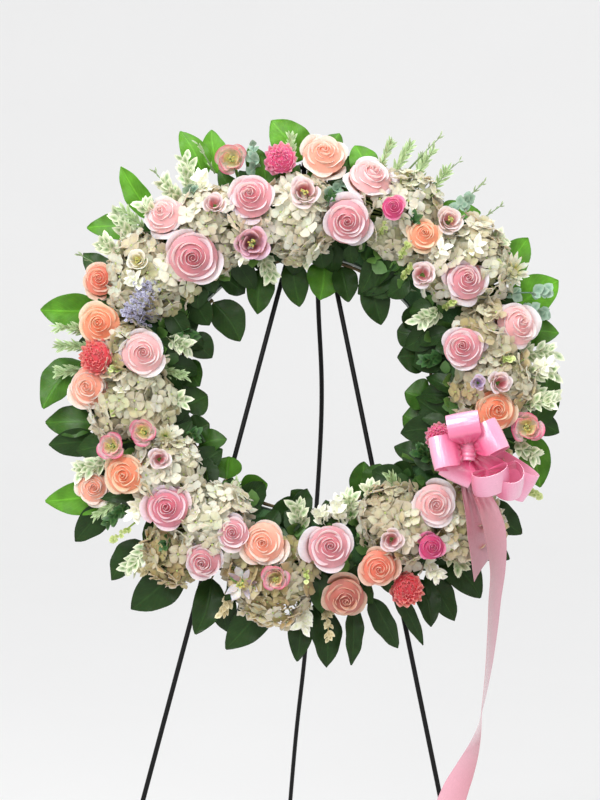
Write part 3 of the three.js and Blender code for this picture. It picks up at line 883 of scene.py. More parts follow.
def cupped_petals(plan: PetalPlan, rng: Rng) -> tuple[Array, Array, Array, Array]:
    """Petals in the flower's own frame, axis along z, with a head diameter of 1.

    A petal runs from the receptacle over a belly to its rim along a cubic curve in (r, z), and
    round the axis by an angle that widens with the run. Its rim is rounded by shortening the run
    at its sides, rolls out past three quarters of the run, most at the sides, and ruffles as a
    sine of the angle.

    Args:
        plan: how the petals are laid.
        rng: source of each petal's own turn, distance, height, width, roll and wave.

    Returns:
        Points (count, rows, columns, 3), the petals' order from 0 at the heart to 1 outside,
        the grid's across (-1 to 1) and along (0 to 1) coordinates, and the run at each point.
    """
    k = plan.count
    order = np.linspace(0, 1, k)
    u = np.linspace(-1, 1, plan.columns)[None, None, :]
    v = np.linspace(0, 1, plan.rows)[None, :, None]
    t = order[:, None, None]
    turned, farther, higher, wider, rolled, shifted = rng.uniform(-1, 1, (6, k, 1, 1))
    # Where each petal stands: its heading, its rim in (r, z), and half the angle that it covers.
    heading = np.arange(k)[:, None, None] * GOLDEN_ANGLE + 0.28 * turned
    rim_r = plan.inner + (plan.outer - plan.inner) * t**plan.spread * (1 + 0.07 * farther)
    rim_z = plan.crown - plan.fall * t**1.6 + (0.006 + 0.03 * t) * higher
    reach = (plan.wrap[0] + (plan.wrap[1] - plan.wrap[0]) * np.sqrt(t)) * (1 + 0.12 * wider)
    # How far each point of the grid has run: the outline of the rim, its tip and its teeth.
    pointed = plan.point * 0.45 * np.abs(u) ** 1.6
    rounded = 1 - 0.16 * np.abs(u) ** 2.6 * (1 - plan.point) - pointed
    tip = plan.peak * np.exp(-((u / 0.22) ** 2)) * t
    zigzag = plan.teeth * (np.abs((u * 5 + wider) % 2 - 1) - 0.5)
    s = v * (rounded + tip + zigzag * v)
    # The cubic curve from the receptacle over the belly to the rim.
    wall = 1 + plan.bud - (plan.bud + plan.open) * t**0.6
    knots_r = [0.03 + 0.05 * t, 0.08 + 0.42 * t, rim_r * wall + 0.012, rim_r]
    knots_z = [-0.42, -0.38 + 0.04 * t, rim_z - 0.20 + 0.08 * t, rim_z]
    weights = [(1 - s) ** 3, 3 * s * (1 - s) ** 2, 3 * s * s * (1 - s), s**3]
    r = sum(w * p for w, p in zip(weights, knots_r))
    z = sum(w * p for w, p in zip(weights, knots_z))
    # The rim rolls out, and one side of the petal tucks under its neighbour.
    edge = np.clip((s - 0.74) / 0.26, 0, 1) ** 2
    roll = plan.curl * (0.12 + 0.88 * t) * (1 + 0.5 * rolled) * (0.50 + 1.1 * np.abs(u) ** 1.5)
    r = r + roll * edge - 0.03 * t * u**2 * s + plan.slant * (2 - 1.2 * t) * rim_r * u * s**2
    z = z - 0.95 * roll * edge * t
    # The ruffles go outwards near the heart and mostly up and down further out.
    wave = np.sin(plan.waves * u + 6.0 * shifted) * s**3 * plan.ruffle * (0.35 + 0.65 * t)
    r = r + (1 - 0.7 * t) * wave
    z = z + (0.7 + 0.5 * t) * wave
    width = np.sin(np.pi / 2 * np.minimum(1, 0.30 + 1.05 * v)) * (1 - plan.point * 0.85 * v**3)
    angle = heading + u * reach * width
    points = np.stack([r * np.cos(angle), r * np.sin(angle), z], axis=-1)
    grid = np.stack(np.broadcast_arrays(u, v), axis=-1)[0]
    return points, order, grid, np.broadcast_to(s, points.shape[:3])


@dataclass(frozen=True)
class Bloom:
    """A cupped flower on its stem.

    Attributes:
        name: the piece's name.
        angle, radius: its place on the ring, in degrees and millimetres.
        diameter: of the head, in millimetres.
        tone: its colours.
        plan: how its petals are laid.
        rise: how far it stands above the dome.
        lean: an extra lean of its face, as (right, up) parts of the axis.
        eye: whether stamens show at its heart.
        stands_for: the plain solid that it takes the place of.
        slot: the name of a material slot; not used.
    """

    name: str
    angle: float
    radius: float
    diameter: float
    tone: Tone
    plan: PetalPlan = ROSE
    rise: float = 0.0
    lean: tuple[float, float] = (0.0, 0.0)
    eye: bool = False
    stands_for: tuple[str, ...] = ()
    slot: str | None = None

    def build(self, finishes: Finishes) -> bpy.types.Object:
        """Makes the bloom as one piece of petals, calyx and stem."""
        rng = np.random.default_rng(int(self.angle * 1000 + self.radius))
        place = seat(self.angle, self.radius, self.rise)
        axis = unit(place.axis + np.array([*self.lean, 0.0]) + rng.uniform(-0.08, 0.08, 3))
        turn = basis(axis, rng.uniform(0, FULL_TURN))
        patches = [self.petals(rng, place.head, turn)]
        if self.plan.inner < OPEN_THROAT:
            patches.append(self.core(place.head, turn))
        patches += self.calyx(place.head, turn)
        back = place.head - 0.5 * self.diameter * axis
        patches.append(stem(back, place.entry, 2.0 if self.diameter > 40 else 1.2))
        if self.eye:
            patches.append(self.stamens(rng, place.head, turn))
        return make_piece(
            self.name, patches, [finishes.petal, finishes.stem], stands_for=self.stands_for
        )

    def petals(self, rng: Rng, head: Array, turn: Array) -> Patch:
        """The petals, tinted from the heart to the rims and a little unlike each other, with painted shade
        between them and a painted highlight on their rims.

        Args:
            rng: source of the petals' own shapes and lightness.
            head: the middle of the head.
            turn: the head's turning matrix.

        Returns:
            The petals as one patch.
        """
        points, order, grid, along = cupped_petals(self.plan, rng)
        heart, outer, rim = self.tone.colours()
        out = order[:, None, None]
        tint = mix(heart, outer, np.clip(1.9 * out**0.8 + 0.8 * (along - 0.85), 0, 1))
        # The rim colour comes in towards each petal's edge: partly the petal's own edge colour, partly a
        # painted highlight on the rolled rim.
        start, least = self.plan.edge
        rim_and_highlight = np.clip((along - start) / (1 - start), 0, 1) ** 2 * np.minimum(1, least + 0.45 * out)
        tint = mix(tint, rim, rim_and_highlight)
        tint = mix(tint, PETAL_FOOT, np.clip(1 - along / 0.6, 0, 1) * 0.55 * out)
        # Painted shade: a petal of a packed flower darkens towards its foot, where it goes down under its
        # neighbours' rims.
        if self.plan.inner < OPEN_THROAT:
            tint = mix(tint, tint * PAINTED_GAP_SHADE, np.clip((0.92 - along) / 0.40, 0, 1))
        k = self.plan.count
        tint = tint * (1 + rng.uniform(-0.07, 0.07, (k, 1, 1, 1)))
        placed = put(points, head, np.broadcast_to(turn, (k, 3, 3)), self.diameter)
        thin = self.plan.thickness * (1.1 - 0.6 * along) * min(1.0, self.diameter / 45)
        return closed_sheets(placed, thin, grid, tint, 0, tint * 0.94)

    def core(self, head: Array, turn: Array) -> Patch:
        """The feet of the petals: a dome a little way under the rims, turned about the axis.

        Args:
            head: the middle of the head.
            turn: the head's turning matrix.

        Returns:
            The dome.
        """
        plan = self.plan
        r = np.linspace(0.85 * plan.outer, plan.inner, 9)
        t = ((r - plan.inner) / (plan.outer - plan.inner)) ** (1 / plan.spread)
        z = plan.crown - plan.fall * t**1.6 - CORE_DEPTH
        r = np.concatenate([[0.10, 0.26], r])
        z = np.concatenate([[-0.40, -0.28], z])
        heart, outer, _ = self.tone.colours()
        # The dome is darkened to 0.85 of the petals' colours: a painted shade under the rims.
        tint = mix(heart, outer, np.clip(r / plan.outer, 0, 1) * 0.6) * 0.85
        path = head + z[:, None] * self.diameter * turn[2]
        return tubes(path[None], r[None] * self.diameter, 20, tint[:, None], 0)

    def calyx(self, head: Array, turn: Array) -> list[Patch]:
        """The green cup under the head and its five sepals, which lie out along its back.

        Args:
            head: the middle of the head.
            turn: the head's turning matrix.

        Returns:
            The cup and the sepals.
        """
        d = self.diameter
        z = np.array([-0.55, -0.52, -0.47, -0.42, -0.38]) * d
        path = head + z[None, :, None] * turn[2]
        cup = tubes(path, np.array([[0.03, 0.06, 0.085, 0.10, 0.09]]) * d, 10, GREEN_STEM, 1)
        a = np.arange(5)[:, None] * 2 * np.pi / 5
        run = np.array([0, 0.25, 0.6, 1.0, 0.6, 0.25])
        side = np.array([0, -0.5, -0.35, 0, 0.35, 0.5]) * 0.13 * d
        r = 0.07 * d + run * 0.30 * d
        h = -0.46 * d + 0.10 * d * np.sin(run * 2.2)
        outline = [r * np.cos(a) - side * np.sin(a), r * np.sin(a) + side * np.cos(a), h + 0 * a]
        rims = np.stack(outline, axis=-1) @ turn + head
        middle = rims.mean(axis=1)
        half = 0.8 * turn[2]
        return [cup, lenses(rims, middle + half, middle - half, GREEN_STEM, GREEN_STEM * 1.1, 1)]

    def stamens(self, rng: Rng, head: Array, turn: Array) -> Patch:
        """A tuft of yellow-green stamens.

        Args:
            rng: source of their places and colours.
            head: the middle of the head.
            turn: the head's turning matrix.

        Returns:
            The stamens as one patch.
        """
        k = 14
        a = rng.uniform(0, FULL_TURN, k)
        r = 0.11 * self.diameter * np.sqrt(rng.uniform(0, 1, k))
        top = np.stack([r * np.cos(a), r * np.sin(a), np.full(k, 0.02 * self.diameter)], axis=-1)
        foot = np.array([0, 0, -0.3 * self.diameter]) + 0 * top
        run = np.linspace(0, 1, 5)[None, :, None]
        path = (foot[:, None] * (1 - run) + top[:, None] * run) @ turn + head
        radius = np.array([[0.6, 0.6, 0.6, 1.5, 1.1]]) * 0.02 * self.diameter + np.zeros((k, 1))
        tints = mix(linear(0.62, 0.68, 0.35), linear(0.86, 0.78, 0.36), rng.uniform(0, 1, k))
        return tubes(path, radius, 6, tints[:, None, None], 0)


# Roses: angle, distance, diameter, tone and the lean of the face. They take the place of the
# solids rose_01, rose_02 and so on.
ROSES: list[tuple[float, float, float, Tone, tuple[float, float]]] = [
    (87, 279, 62, Tone.PEACH, (0.0, 0.05)), (74, 262, 62, Tone.BLUSH, (0.25, 0.30)),
    (108, 232, 62, Tone.PINK, (-0.05, 0.0)), (77, 197, 62, Tone.PINK, (0.0, -0.1)),
    (132, 266, 55, Tone.BLUSH, (-0.1, 0.1)), (134, 200, 70, Tone.PINK, (0.1, -0.15)),
    (155, 279, 46, Tone.CORAL, (0.28, -0.08)), (166, 257, 57, Tone.APRICOT, (0.2, -0.05)),
    (172, 197, 58, Tone.BLUSH, (0.1, 0.05)), (183, 261, 55, Tone.PEACH, (0.15, 0.0)),
    (209, 243, 56, Tone.APRICOT, (0.0, 0.0)), (224, 223, 58, Tone.DEEP, (0.0, 0.05)),
    (242, 248, 50, Tone.PINK, (0.0, 0.0)), (280, 199, 60, Tone.PINK, (0.0, 0.1)),
    (282, 264, 56, Tone.DUSK, (0.0, -0.05)), (293, 239, 50, Tone.CORAL, (0.05, 0.0)),
    (318, 213, 58, Tone.BLUSH, (0.0, 0.0)), (353, 230, 58, Tone.APRICOT, (0.0, 0.05)),
    (14, 192, 56, Tone.PINK, (-0.05, 0.05)), (17, 266, 62, Tone.BLUSH, (0.1, 0.05)),
    (34, 228, 55, Tone.PINK, (0.0, 0.0)),
]

# Blooms that have no solid of their own: name, angle, distance, listed diameter, tone, plan, how far
# they stand over the dome, and whether stamens show.
SMALL_BLOOMS: list[tuple[str, float, float, float, Tone, PetalPlan, float, bool]] = [
    ("rose_small_left", 208, 287, 38, Tone.PEACH, ROSE, 0, False),
    ("rose_small_bottom", 246, 200, 38, Tone.PINK, ROSE, 4, False),
    ("rose_small_low", 257, 199, 50, Tone.PEACH, ROSE, 0, False),
    ("rose_small_right", 53, 226, 38, Tone.APRICOT, ROSE, 2, False),
    ("spray_rose_top", 65, 232, 27, Tone.MAGENTA, SPRAY_ROSE, 16, False),
    ("spray_rose_low", 309, 248, 31, Tone.MAGENTA, SPRAY_ROSE, 10, False),
    ("carnation_top", 98, 271, 39, Tone.HOT, CARNATION, 2, False),
    ("carnation_left", 175, 251, 44, Tone.RED, CARNATION, 0, False),
    ("carnation_low", 298, 277, 42, Tone.RED, CARNATION, 2, False),
    ("carnation_by_bow", 339, 172, 33, Tone.HOT, CARNATION, 0, False),
    ("lisianthus_top", 110, 287, 36, Tone.CREAM_EDGED, LISIANTHUS, 6, True),
    ("lisianthus_inner_left", 113, 177, 40, Tone.DARK_HEART, LISIANTHUS, 4, True),
    ("lisianthus_upper_left", 119, 238, 26, Tone.PINK, LISIANTHUS, 20, False),
    ("lisianthus_cream", 146, 247, 26, Tone.CREAM, LISIANTHUS, 16, True),
    ("lisianthus_pink", 92, 226, 36, Tone.PINK, LISIANTHUS, 14, True),
    ("lisianthus_right_top", 50, 260, 32, Tone.BLUSH, LISIANTHUS, 14, True),
    ("lisianthus_inner_right", 44, 188, 30, Tone.PINK, LISIANTHUS, 12, False),
    ("lisianthus_left", 199, 202, 31, Tone.HOT_EDGED, LISIANTHUS, 6, True),
    ("lisianthus_far_left", 200, 244, 31, Tone.HOT_EDGED, LISIANTHUS, 8, True),
    ("lisianthus_bud_left", 210, 196, 25, Tone.PINK, LISIANTHUS, 14, False),
    ("lisianthus_bottom", 263, 237, 31, Tone.HOT_EDGED, LISIANTHUS, 16, True),
    ("lisianthus_low_right", 300, 214, 28, Tone.PINK, LISIANTHUS, 14, False),
    ("lisianthus_right", 350, 271, 37, Tone.HOT_EDGED, LISIANTHUS, 16, True),
    ("lisianthus_mid_right", 1, 232, 27, Tone.PINK, LISIANTHUS, 16, False),
    ("lisianthus_lilac", 1, 205, 18, Tone.LILAC, LISIANTHUS, 16, False),
    ("mum_left", 203, 180, 30, Tone.WHITE, MUM, 0, False),
    ("mum_right", 30, 286, 38, Tone.WHITE, MUM, 26, False),
    ("star_flower", 254, 254, 40, Tone.PEARL, STAR, 16, True),
]


def facing_front(angle: float, radius: float) -> tuple[float, float]:
    """The lean that turns a bloom on the rim of the wreath back towards the front."""
    right, up, _ = polar(angle, -0.011 * max(0.0, radius - 240))
    return float(right), float(up)


def small_blooms() -> list[Bloom]:
    """The blooms that are only in the looks."""
    return [
        Bloom(name, angle, radius, 1.15 * size, tone, plan, rise, facing_front(angle, radius), eye)
        for name, angle, radius, size, tone, plan, rise, eye in SMALL_BLOOMS
    ]


SLOT_OF_TONE = {
    Tone.PEACH: "rose_peach",
    Tone.BLUSH: "rose_blush",
    Tone.PINK: "rose_pink",
    Tone.DEEP: "rose_deep",
    Tone.CORAL: "rose_coral",
    Tone.APRICOT: "rose_peach",
    Tone.DUSK: "rose_coral",
}


def roses() -> list[Bloom]:
    """The roses that stand for the solids of the frame."""
    return [
        Bloom(
            f"rose_{i:02d}_head", angle, radius, size, tone, lean=lean,
            stands_for=(f"rose_{i:02d}",), slot=SLOT_OF_TONE[tone],
        )
        for i, (angle, radius, size, tone, lean) in enumerate(ROSES, start=1)
    ]


# Hydrangea heads: angle, distance, diameter and how far the colour turns from white to tan.
HYDRANGEAS: list[tuple[float, float, float, float]] = [
    (122, 218, 92, 0.25), (148, 238, 92, 0.30), (187, 214, 88, 0.35), (214, 200, 74, 0.15),
    (238, 205, 84, 0.05), (262, 250, 92, 0.80), (305, 205, 84, 0.45), (320, 262, 80, 0.75),
    (2, 232, 84, 0.45), (38, 255, 96, 0.30), (62, 240, 96, 0.15), (95, 200, 88, 0.20),
]
# Heads that are only in the looks.
EXTRA_HYDRANGEAS: list[tuple[float, float, float, float]] = [
    (234, 268, 62, 0.95), (336, 238, 66, 0.70), (172, 226, 70, 0.40), (16, 229, 64, 0.55),
]


HYDRANGEA_WHITE = linear(0.98, 0.95, 0.87)
HYDRANGEA_TAN = linear(0.70, 0.57, 0.38)
HYDRANGEA_GREEN = linear(0.72, 0.76, 0.46)
FLORET_SHADOW = linear(0.34, 0.34, 0.17)
FLORET_STALK = linear(0.62, 0.68, 0.42)
FLORET_BEAD = linear(0.66, 0.72, 0.42)
FLORET_THROAT = linear(0.80, 0.74, 0.48)


@dataclass(frozen=True)
class Hydrangea:
    """A domed head of four-petalled florets, on a thick stem, between the roses.

    Attributes:
        number: in the piece's name, and the seed of its draws.
        angle, radius: its place on the ring, in degrees and millimetres.
        diameter: of the head, in millimetres.
        warmth: how far its colour turns from white to tan.
        stands_for: the plain solid that it takes the place of.
        florets: their number, before the roses take their room.
        size: least and greatest radius of a floret.
        lowest: least height of the head's middle.
        squash: how far the ball of florets is flattened along x, y and z.
    """

    number: int
    angle: float
    radius: float
    diameter: float
    warmth: float
    stands_for: tuple[str, ...] = ()
    florets: int = 120
    size: tuple[float, float] = (9.5, 13.0)
    lowest: float = 62.0
    squash: Triple = (1.06, 1.06, 0.84)

    def build(self, finishes: Finishes) -> bpy.types.Object:
        """Makes the head on its stem."""
        rng = np.random.default_rng(900 + self.number)
        place = seat(self.angle, self.radius)
        centre = place.head - 0.42 * self.diameter * place.axis
        centre[2] = max(centre[2], self.lowest)
        spots, out, sunk = self.ball(centre, place.axis, rng)
        k = len(spots)
        facing = unit(out + rng.normal(0, 0.34, out.shape))
        size = rng.uniform(*self.size, k)
        warm = np.clip(self.warmth + rng.normal(0.06, 0.26, k), 0, 1)
        colour = mix(HYDRANGEA_WHITE, HYDRANGEA_TAN, warm)
        colour = mix(colour, HYDRANGEA_GREEN, np.clip(rng.normal(0.10, 0.15, k), 0, 0.6))
        colour = mix(colour, FLORET_SHADOW, np.clip(4 * sunk, 0, 0.65))
        patches = floret_cluster(spots, facing, size, colour, rng)
        stalks = np.stack([centre + 0 * spots, (centre + spots) / 2, spots - out], axis=1)
        patches.append(tubes(stalks, np.full((k, 3), 0.7), 4, FLORET_STALK, 1))
        patches.append(stem(centre, place.entry, 2.8))
        return make_piece(
            f"hydrangea_{self.number:02d}_head", patches, [finishes.floret, finishes.stem],
            stands_for=self.stands_for,
        )

    def ball(self, centre: Array, axis: Array, rng: Rng) -> tuple[Array, Array, Array]:
        """Spots for the florets on a lumpy, flattened ball, evenly spread by the golden angle.

        The ball's radius is half the diameter, with sine waves round the axis and along it.

        Args:
            centre: of the ball.
            axis: the way the head faces.
            rng: source of each spot's own distance.

        Returns:
            The spots that are clear of the foam and the roses, their directions from the centre,
            and how far they lie under the mean ball, as a share of its radius.
        """
        i = np.arange(self.florets) + 0.5
        height = 1 - 1.25 * i / self.florets
        turn = i * GOLDEN_ANGLE
        ring = np.sqrt(np.maximum(0, 1 - height**2))
        out = np.stack([ring * np.cos(turn), ring * np.sin(turn), height], axis=-1) @ basis(axis)
        lumps = 0.10 * np.sin(3 * turn + self.number) * ring
        lumps = lumps + 0.08 * np.sin(5 * height * np.pi + self.number)
        share = 1.0 + lumps + rng.uniform(-0.08, 0.08, self.florets)
        spots = centre + out * (self.diameter / 2 * share)[:, None] * np.array(self.squash)
        keep = (spots[:, 2] > FOAM_TOP + 6) & clear_of_roses(spots)
        return spots[keep], out[keep], (1 - share)[keep]


def clear_of_roses(spots: Array, share: float = 0.47) -> Array:
    """Which of some points lie outside every rose head.

    Args:
        spots: the points (k, 3).
        share: the room that a head takes, as a share of its diameter.

    Returns:
        True for each free point (k,).
    """
    free = np.ones(len(spots), bool)
    for angle, radius, size, _, _ in ROSES:
        free &= np.linalg.norm(spots - seat(angle, radius).head, axis=1) > share * size
    return free


def floret_cluster(spots: Array, facing: Array, size: Array, colour: Array, rng: Rng) -> list[Patch]:
    """Four-petalled florets of few faces: one cupped petal, turned by quarters round the middle.

    Args:
        spots: their middles (k, 3).
        facing: the ways they face (k, 3).
        size: their radii in millimetres (k,).
        colour: their linear colours (k, 3).
        rng: source of their spins, crinkles and lightness.

    Returns:
        The petals and the beads in their middles.
    """
    k = len(spots)
    turn = basis(facing, rng.uniform(0, FULL_TURN, k))
    x = np.array([0.04, 0.34, 0.70, 0.98, 1.13, 0.98, 0.70, 0.34])
    y = np.array([0.0, -0.38, -0.56, -0.37, 0.0, 0.37, 0.56, 0.38])
    petal = np.stack([x, y, 0.06 + 0.16 * x**2 - 0.22 * y**2], axis=-1)
    middle = np.array([[0.55, 0, 0.09], [0.55, 0, 0.05]])
    c, s = np.array([1.0, 0, -1, 0]), np.array([0.0, 1, 0, -1])
    quarter = np.zeros((4, 3, 3))
    quarter[:, 0, :2] = np.stack([c, s], axis=-1)
    quarter[:, 1, :2] = np.stack([-s, c], axis=-1)
    quarter[:, 2, 2] = 1
    one = (np.concatenate([petal, middle]) @ quarter).reshape(1, 40, 3)
    placed = put(np.broadcast_to(one, (k, 40, 3)), spots, turn, size).reshape(4 * k, 10, 3)
    rims = placed[:, :8] + rng.normal(0, 0.75, (4 * k, 8, 3))
    tint = np.repeat(colour, 4, axis=0) * (1 + rng.uniform(-0.16, 0.08, (4 * k, 1)))
    throat = mix(tint, FLORET_THROAT, np.full(4 * k, 0.22))
    petals = lenses(rims, placed[:, 8], placed[:, 9], tint, throat, 0)
    height = np.array([0, 0.5, 1])[:, None] * 0.16 * size[:, None, None]
    bead = spots[:, None] + turn[:, 2][:, None] * height
    radius = np.array([0.10, 0.15, 0.06])[None] * size[:, None]
    return [petals, tubes(bead, radius, 5, FLORET_BEAD, 0)]


# --- leaves ------------------------------------------------------------------------------

# Each leaf: angle and distance of the blade's foot, of its tip, its width, and how light it is.
# The lightness is painted light and shade: 0 for a leaf in shade, 1 for one in full light.
Leaf = tuple[float, float, float, float, float, float]
OUTER_BRANCHES: dict[str, list[Leaf]] = {
    "salal_top_left": [
        (86, 300, 84, 316, 24, 0.8), (91, 300, 99, 330, 40, 1.0), (104, 275, 105, 302, 24, 0.7),
        (114, 300, 112, 338, 28, 1.0), (118, 305, 118, 350, 28, 1.0), (134, 295, 132, 352, 26, 1.0),
        (139, 300, 146, 334, 28, 0.9),
    ],
    "salal_left": [
        (154, 280, 151, 320, 28, 0.4), (162, 280, 166, 340, 38, 0.95),
        (176, 290, 187, 324, 40, 0.75), (192, 270, 190, 325, 34, 0.65),
        (197, 275, 195, 325, 30, 0.3), (211, 285, 206, 350, 36, 0.95), (213, 295, 216, 344, 30, 0.2),
    ],
    "salal_bottom_left": [
        (226, 295, 227, 340, 30, 0.3), (237, 280, 234, 350, 42, 0.2), (246, 275, 248, 335, 32, 0.3),
        (251, 290, 254, 320, 26, 0.2), (262, 280, 255, 340, 36, 0.2), (270, 290, 270, 340, 26, 0.2),
        (274, 285, 276, 350, 34, 0.15), (284, 295, 281, 350, 20, 0.15),
    ],
    "salal_bottom_right": [
        (289, 290, 291, 345, 24, 0.1), (295, 290, 296, 352, 16, 0.1), (302, 295, 299, 335, 26, 0.1),
        (305, 290, 304, 345, 28, 0.2), (311, 275, 311, 340, 36, 0.2), (320, 285, 321, 330, 28, 0.2),
        (329, 280, 327, 325, 28, 0.3), (349, 305, 338, 316, 32, 0.85),
    ],
    "salal_right": [
        (354, 280, 351, 320, 28, 0.4), (350, 305, 8, 304, 34, 0.6), (15, 275, 13, 318, 32, 0.8),
        (21, 280, 24, 340, 42, 1.0), (31, 280, 35, 330, 36, 0.95), (54, 275, 46, 302, 32, 0.9),
        (75, 275, 80, 304, 30, 1.0),
    ],
}
INNER_BRANCHES: dict[str, list[Leaf]] = {
    "salal_inner_top": [
        (60, 150, 40, 120, 30, 0.3), (75, 150, 64, 115, 28, 0.4), (83, 150, 82, 105, 38, 0.8),
        (98, 150, 96, 97, 28, 0.5), (112, 150, 126, 105, 30, 0.5),
    ],
    "salal_inner_left": [
        (140, 150, 148, 97, 36, 0.4), (158, 150, 166, 120, 28, 0.3), (172, 150, 183, 130, 30, 0.5),
        (192, 150, 188, 122, 32, 0.5), (204, 150, 204, 128, 30, 0.4), (212, 150, 217, 118, 26, 0.6),
    ],
    "salal_inner_bottom": [
        (232, 150, 225, 130, 34, 0.8), (240, 150, 251, 132, 32, 0.8), (272, 150, 264, 132, 22, 0.3),
        (297, 150, 309, 120, 28, 0.6), (305, 150, 315, 135, 30, 0.6),
    ],
    "salal_inner_right": [
        (344, 150, 344, 127, 32, 0.6), (354, 150, 357, 123, 36, 0.6), (14, 150, 18, 118, 36, 0.2),
        (26, 150, 32, 132, 32, 0.2),
    ],
}


# The salal green in painted shade and in painted full light; a blade's lightness mixes between them.
SHADED_LEAF = linear(0.04, 0.09, 0.04)
LIT_LEAF = linear(0.44, 0.72, 0.18)
LEAF_BACK = linear(0.20, 0.32, 0.14)
LEAF_CONTRAST = 3.2
PETIOLE = linear(0.45, 0.42, 0.24)
TWIG = linear(0.36, 0.30, 0.18)


@dataclass(frozen=True)
class LeafShape:
    """The blade of a leaf, and how many points it is made with.

    Attributes:
        broad: power of the half width at the foot; a smaller one is blunter.
        drawn: power at the tip; a larger one draws the tip out.
        fold: how far the halves fold up from the midrib, in radians, at least and at most.
        rows, columns: points along and across a blade.
        thickness: in millimetres.
    """

    broad: float = 0.55
    drawn: float = 0.80
    fold: tuple[float, float] = (0.12, 0.34)
    rows: int = 15
    columns: int = 9
    thickness: float = 0.7

    def blades(self, foot: Array, tip: Array, width: Array, light: Array, rng: Rng) -> Patch:
        """Leaf blades from k feet to k tips.

        The half width is v^broad (1 - v)^drawn, scaled to the leaf's width. The two halves fold
        up from the midrib, the whole arches along its length, and the margin waves gently.

        Args:
            foot: where the midribs start (k, 3).
            tip: where they end (k, 3).
            width: of the blades, in millimetres (k,).
            light: painted light and shade, from 0, dark, in shade, to 1, bright, in full light (k,).
            rng: source of each leaf's fold, arch, bend and turn.

        Returns:
            The blades as one patch, facing the front of the wreath.
        """
        k = len(foot)
        u = np.linspace(-1, 1, self.columns)[None, None, :]
        v = np.linspace(0, 1, self.rows)[None, :, None]
        ovate = v**self.broad * (1 - v) ** self.drawn
        half = np.maximum(ovate / ovate.max(), 0.03) * (width / 2)[:, None, None]
        along = tip - foot
        length = np.linalg.norm(along, axis=1)[:, None, None]
        face = np.array([0, 0, 1.0]) + 0 * along
        across = unit(np.cross(face, along))
        up = unit(np.cross(along, across))
        across, up = turned_about(across, up, rng.uniform(-0.4, 0.4, k))
        phase = rng.uniform(0, FULL_TURN, (k, 1, 1))
        fold = rng.uniform(*self.fold, (k, 1, 1))
        arch = rng.uniform(0.02, 0.10, (k, 1, 1))
        bend = rng.uniform(-0.07, 0.07, (k, 1, 1))
        rise = fold * np.abs(u) * half + arch * length * np.sin(np.pi * v)
        rise = rise + 0.025 * length * np.sin(5.5 * v * np.pi + phase + u) * u**2
        drift = bend * length * np.sin(np.pi * v)
        points = foot[:, None, None] + along[:, None, None] * v[..., None]
        points = points + across[:, None, None] * (u * half + drift)[..., None]
        points = points + up[:, None, None] * rise[..., None]
        # Painted light and shade: each blade's lightness, a little brighter towards the tip along the
        # midrib, mixes its green between shaded and lit.
        shade = np.clip(light[:, None, None] + 0.15 * v * (1 - np.abs(u)) - 0.05, 0, 1)
        tint = mix(SHADED_LEAF, LIT_LEAF, shade**LEAF_CONTRAST)
        tint = tint * (1 + rng.uniform(-0.12, 0.12, (k, 1, 1, 1)))
        back = mix(tint, LEAF_BACK, np.full(tint.shape[:3], 0.45))
        grid = np.stack(np.broadcast_arrays(u, v), axis=-1)[0]
        return closed_sheets(points, self.thickness, grid, tint, 0, back)


SALAL = LeafShape()
SMALL_SALAL = LeafShape(rows=9, columns=5)


@dataclass(frozen=True)
class Branch:
    """A salal branch: a twig laid round the ring's wall and leathery pointed leaves.

    Attributes:
        name: of the plain solid that it takes the place of.
        leaves: foot, tip, width and lightness of each leaf; the lightness is painted light and shade.
        twig_radius: distance of the twig from the ring's centre.
        stalk_share: how far along the way from the twig to the listed foot a blade starts.
        breadth: how much wider than listed the blades are.
    """

    name: str
    leaves: list[Leaf]
    twig_radius: float
    stalk_share: float = 0.62
    breadth: float = 1.22

    def build(self, finishes: Finishes) -> bpy.types.Object:
        """Makes the branch."""
        rng = np.random.default_rng(len(self.name) * 31 + len(self.leaves))
        spec = np.array(self.leaves)
        order = np.arange(len(spec))
        root = polar(spec[:, 0], self.twig_radius, TWIG_Z)
        listed = polar(spec[:, 0], spec[:, 1], TWIG_Z + 2.0 * (order % 2))
        foot = root + (listed - root) * self.stalk_share
        tip = polar(spec[:, 2], spec[:, 3], TWIG_Z + 10.0 * (order % 3 - 1))
        patches = [
            SALAL.blades(foot, tip, spec[:, 4] * self.breadth, spec[:, 5], rng),
            self.petioles(root, foot, tip),
            self.twig(spec[:, 0]),
        ]
        return make_piece(
            self.name + "_leaves", patches, [finishes.leaf, finishes.stem],
            stands_for=(self.name,),
        )

    def petioles(self, root: Array, foot: Array, tip: Array) -> Patch:
        """The leaf stalks, which run on a little way under the midribs.

        Args:
            root: where they leave the twig (k, 3).
            foot: where the blades start (k, 3).
            tip: where the blades end (k, 3).

        Returns:
            The stalks.
        """
        ahead = foot + 0.25 * (tip - foot)
        path = np.stack([root, (root + foot) / 2, foot, ahead - [0, 0, 0.5]], axis=1)
        radius = np.array([[1.4, 1.1, 1.0, 0.4]]) + np.zeros((len(root), 1))
        return tubes(path, radius, 6, PETIOLE, 1)

    def twig(self, angles: Array) -> Patch:
        """The woody twig, round the ring from the first leaf to the last.

        Args:
            angles: of the leaves, in degrees.

        Returns:
            The twig.
        """
        run = (angles - angles[0] + 540) % 360 - 180
        a = angles[0] + np.linspace(run.min() - 0.8, run.max() + 0.8, 25)
        path = polar(a, self.twig_radius, TWIG_Z)[None]
        radius = 2.1 + 0.25 * np.sin(np.linspace(0, 30, 25))[None]
        return tubes(path, radius, 8, TWIG, 1)


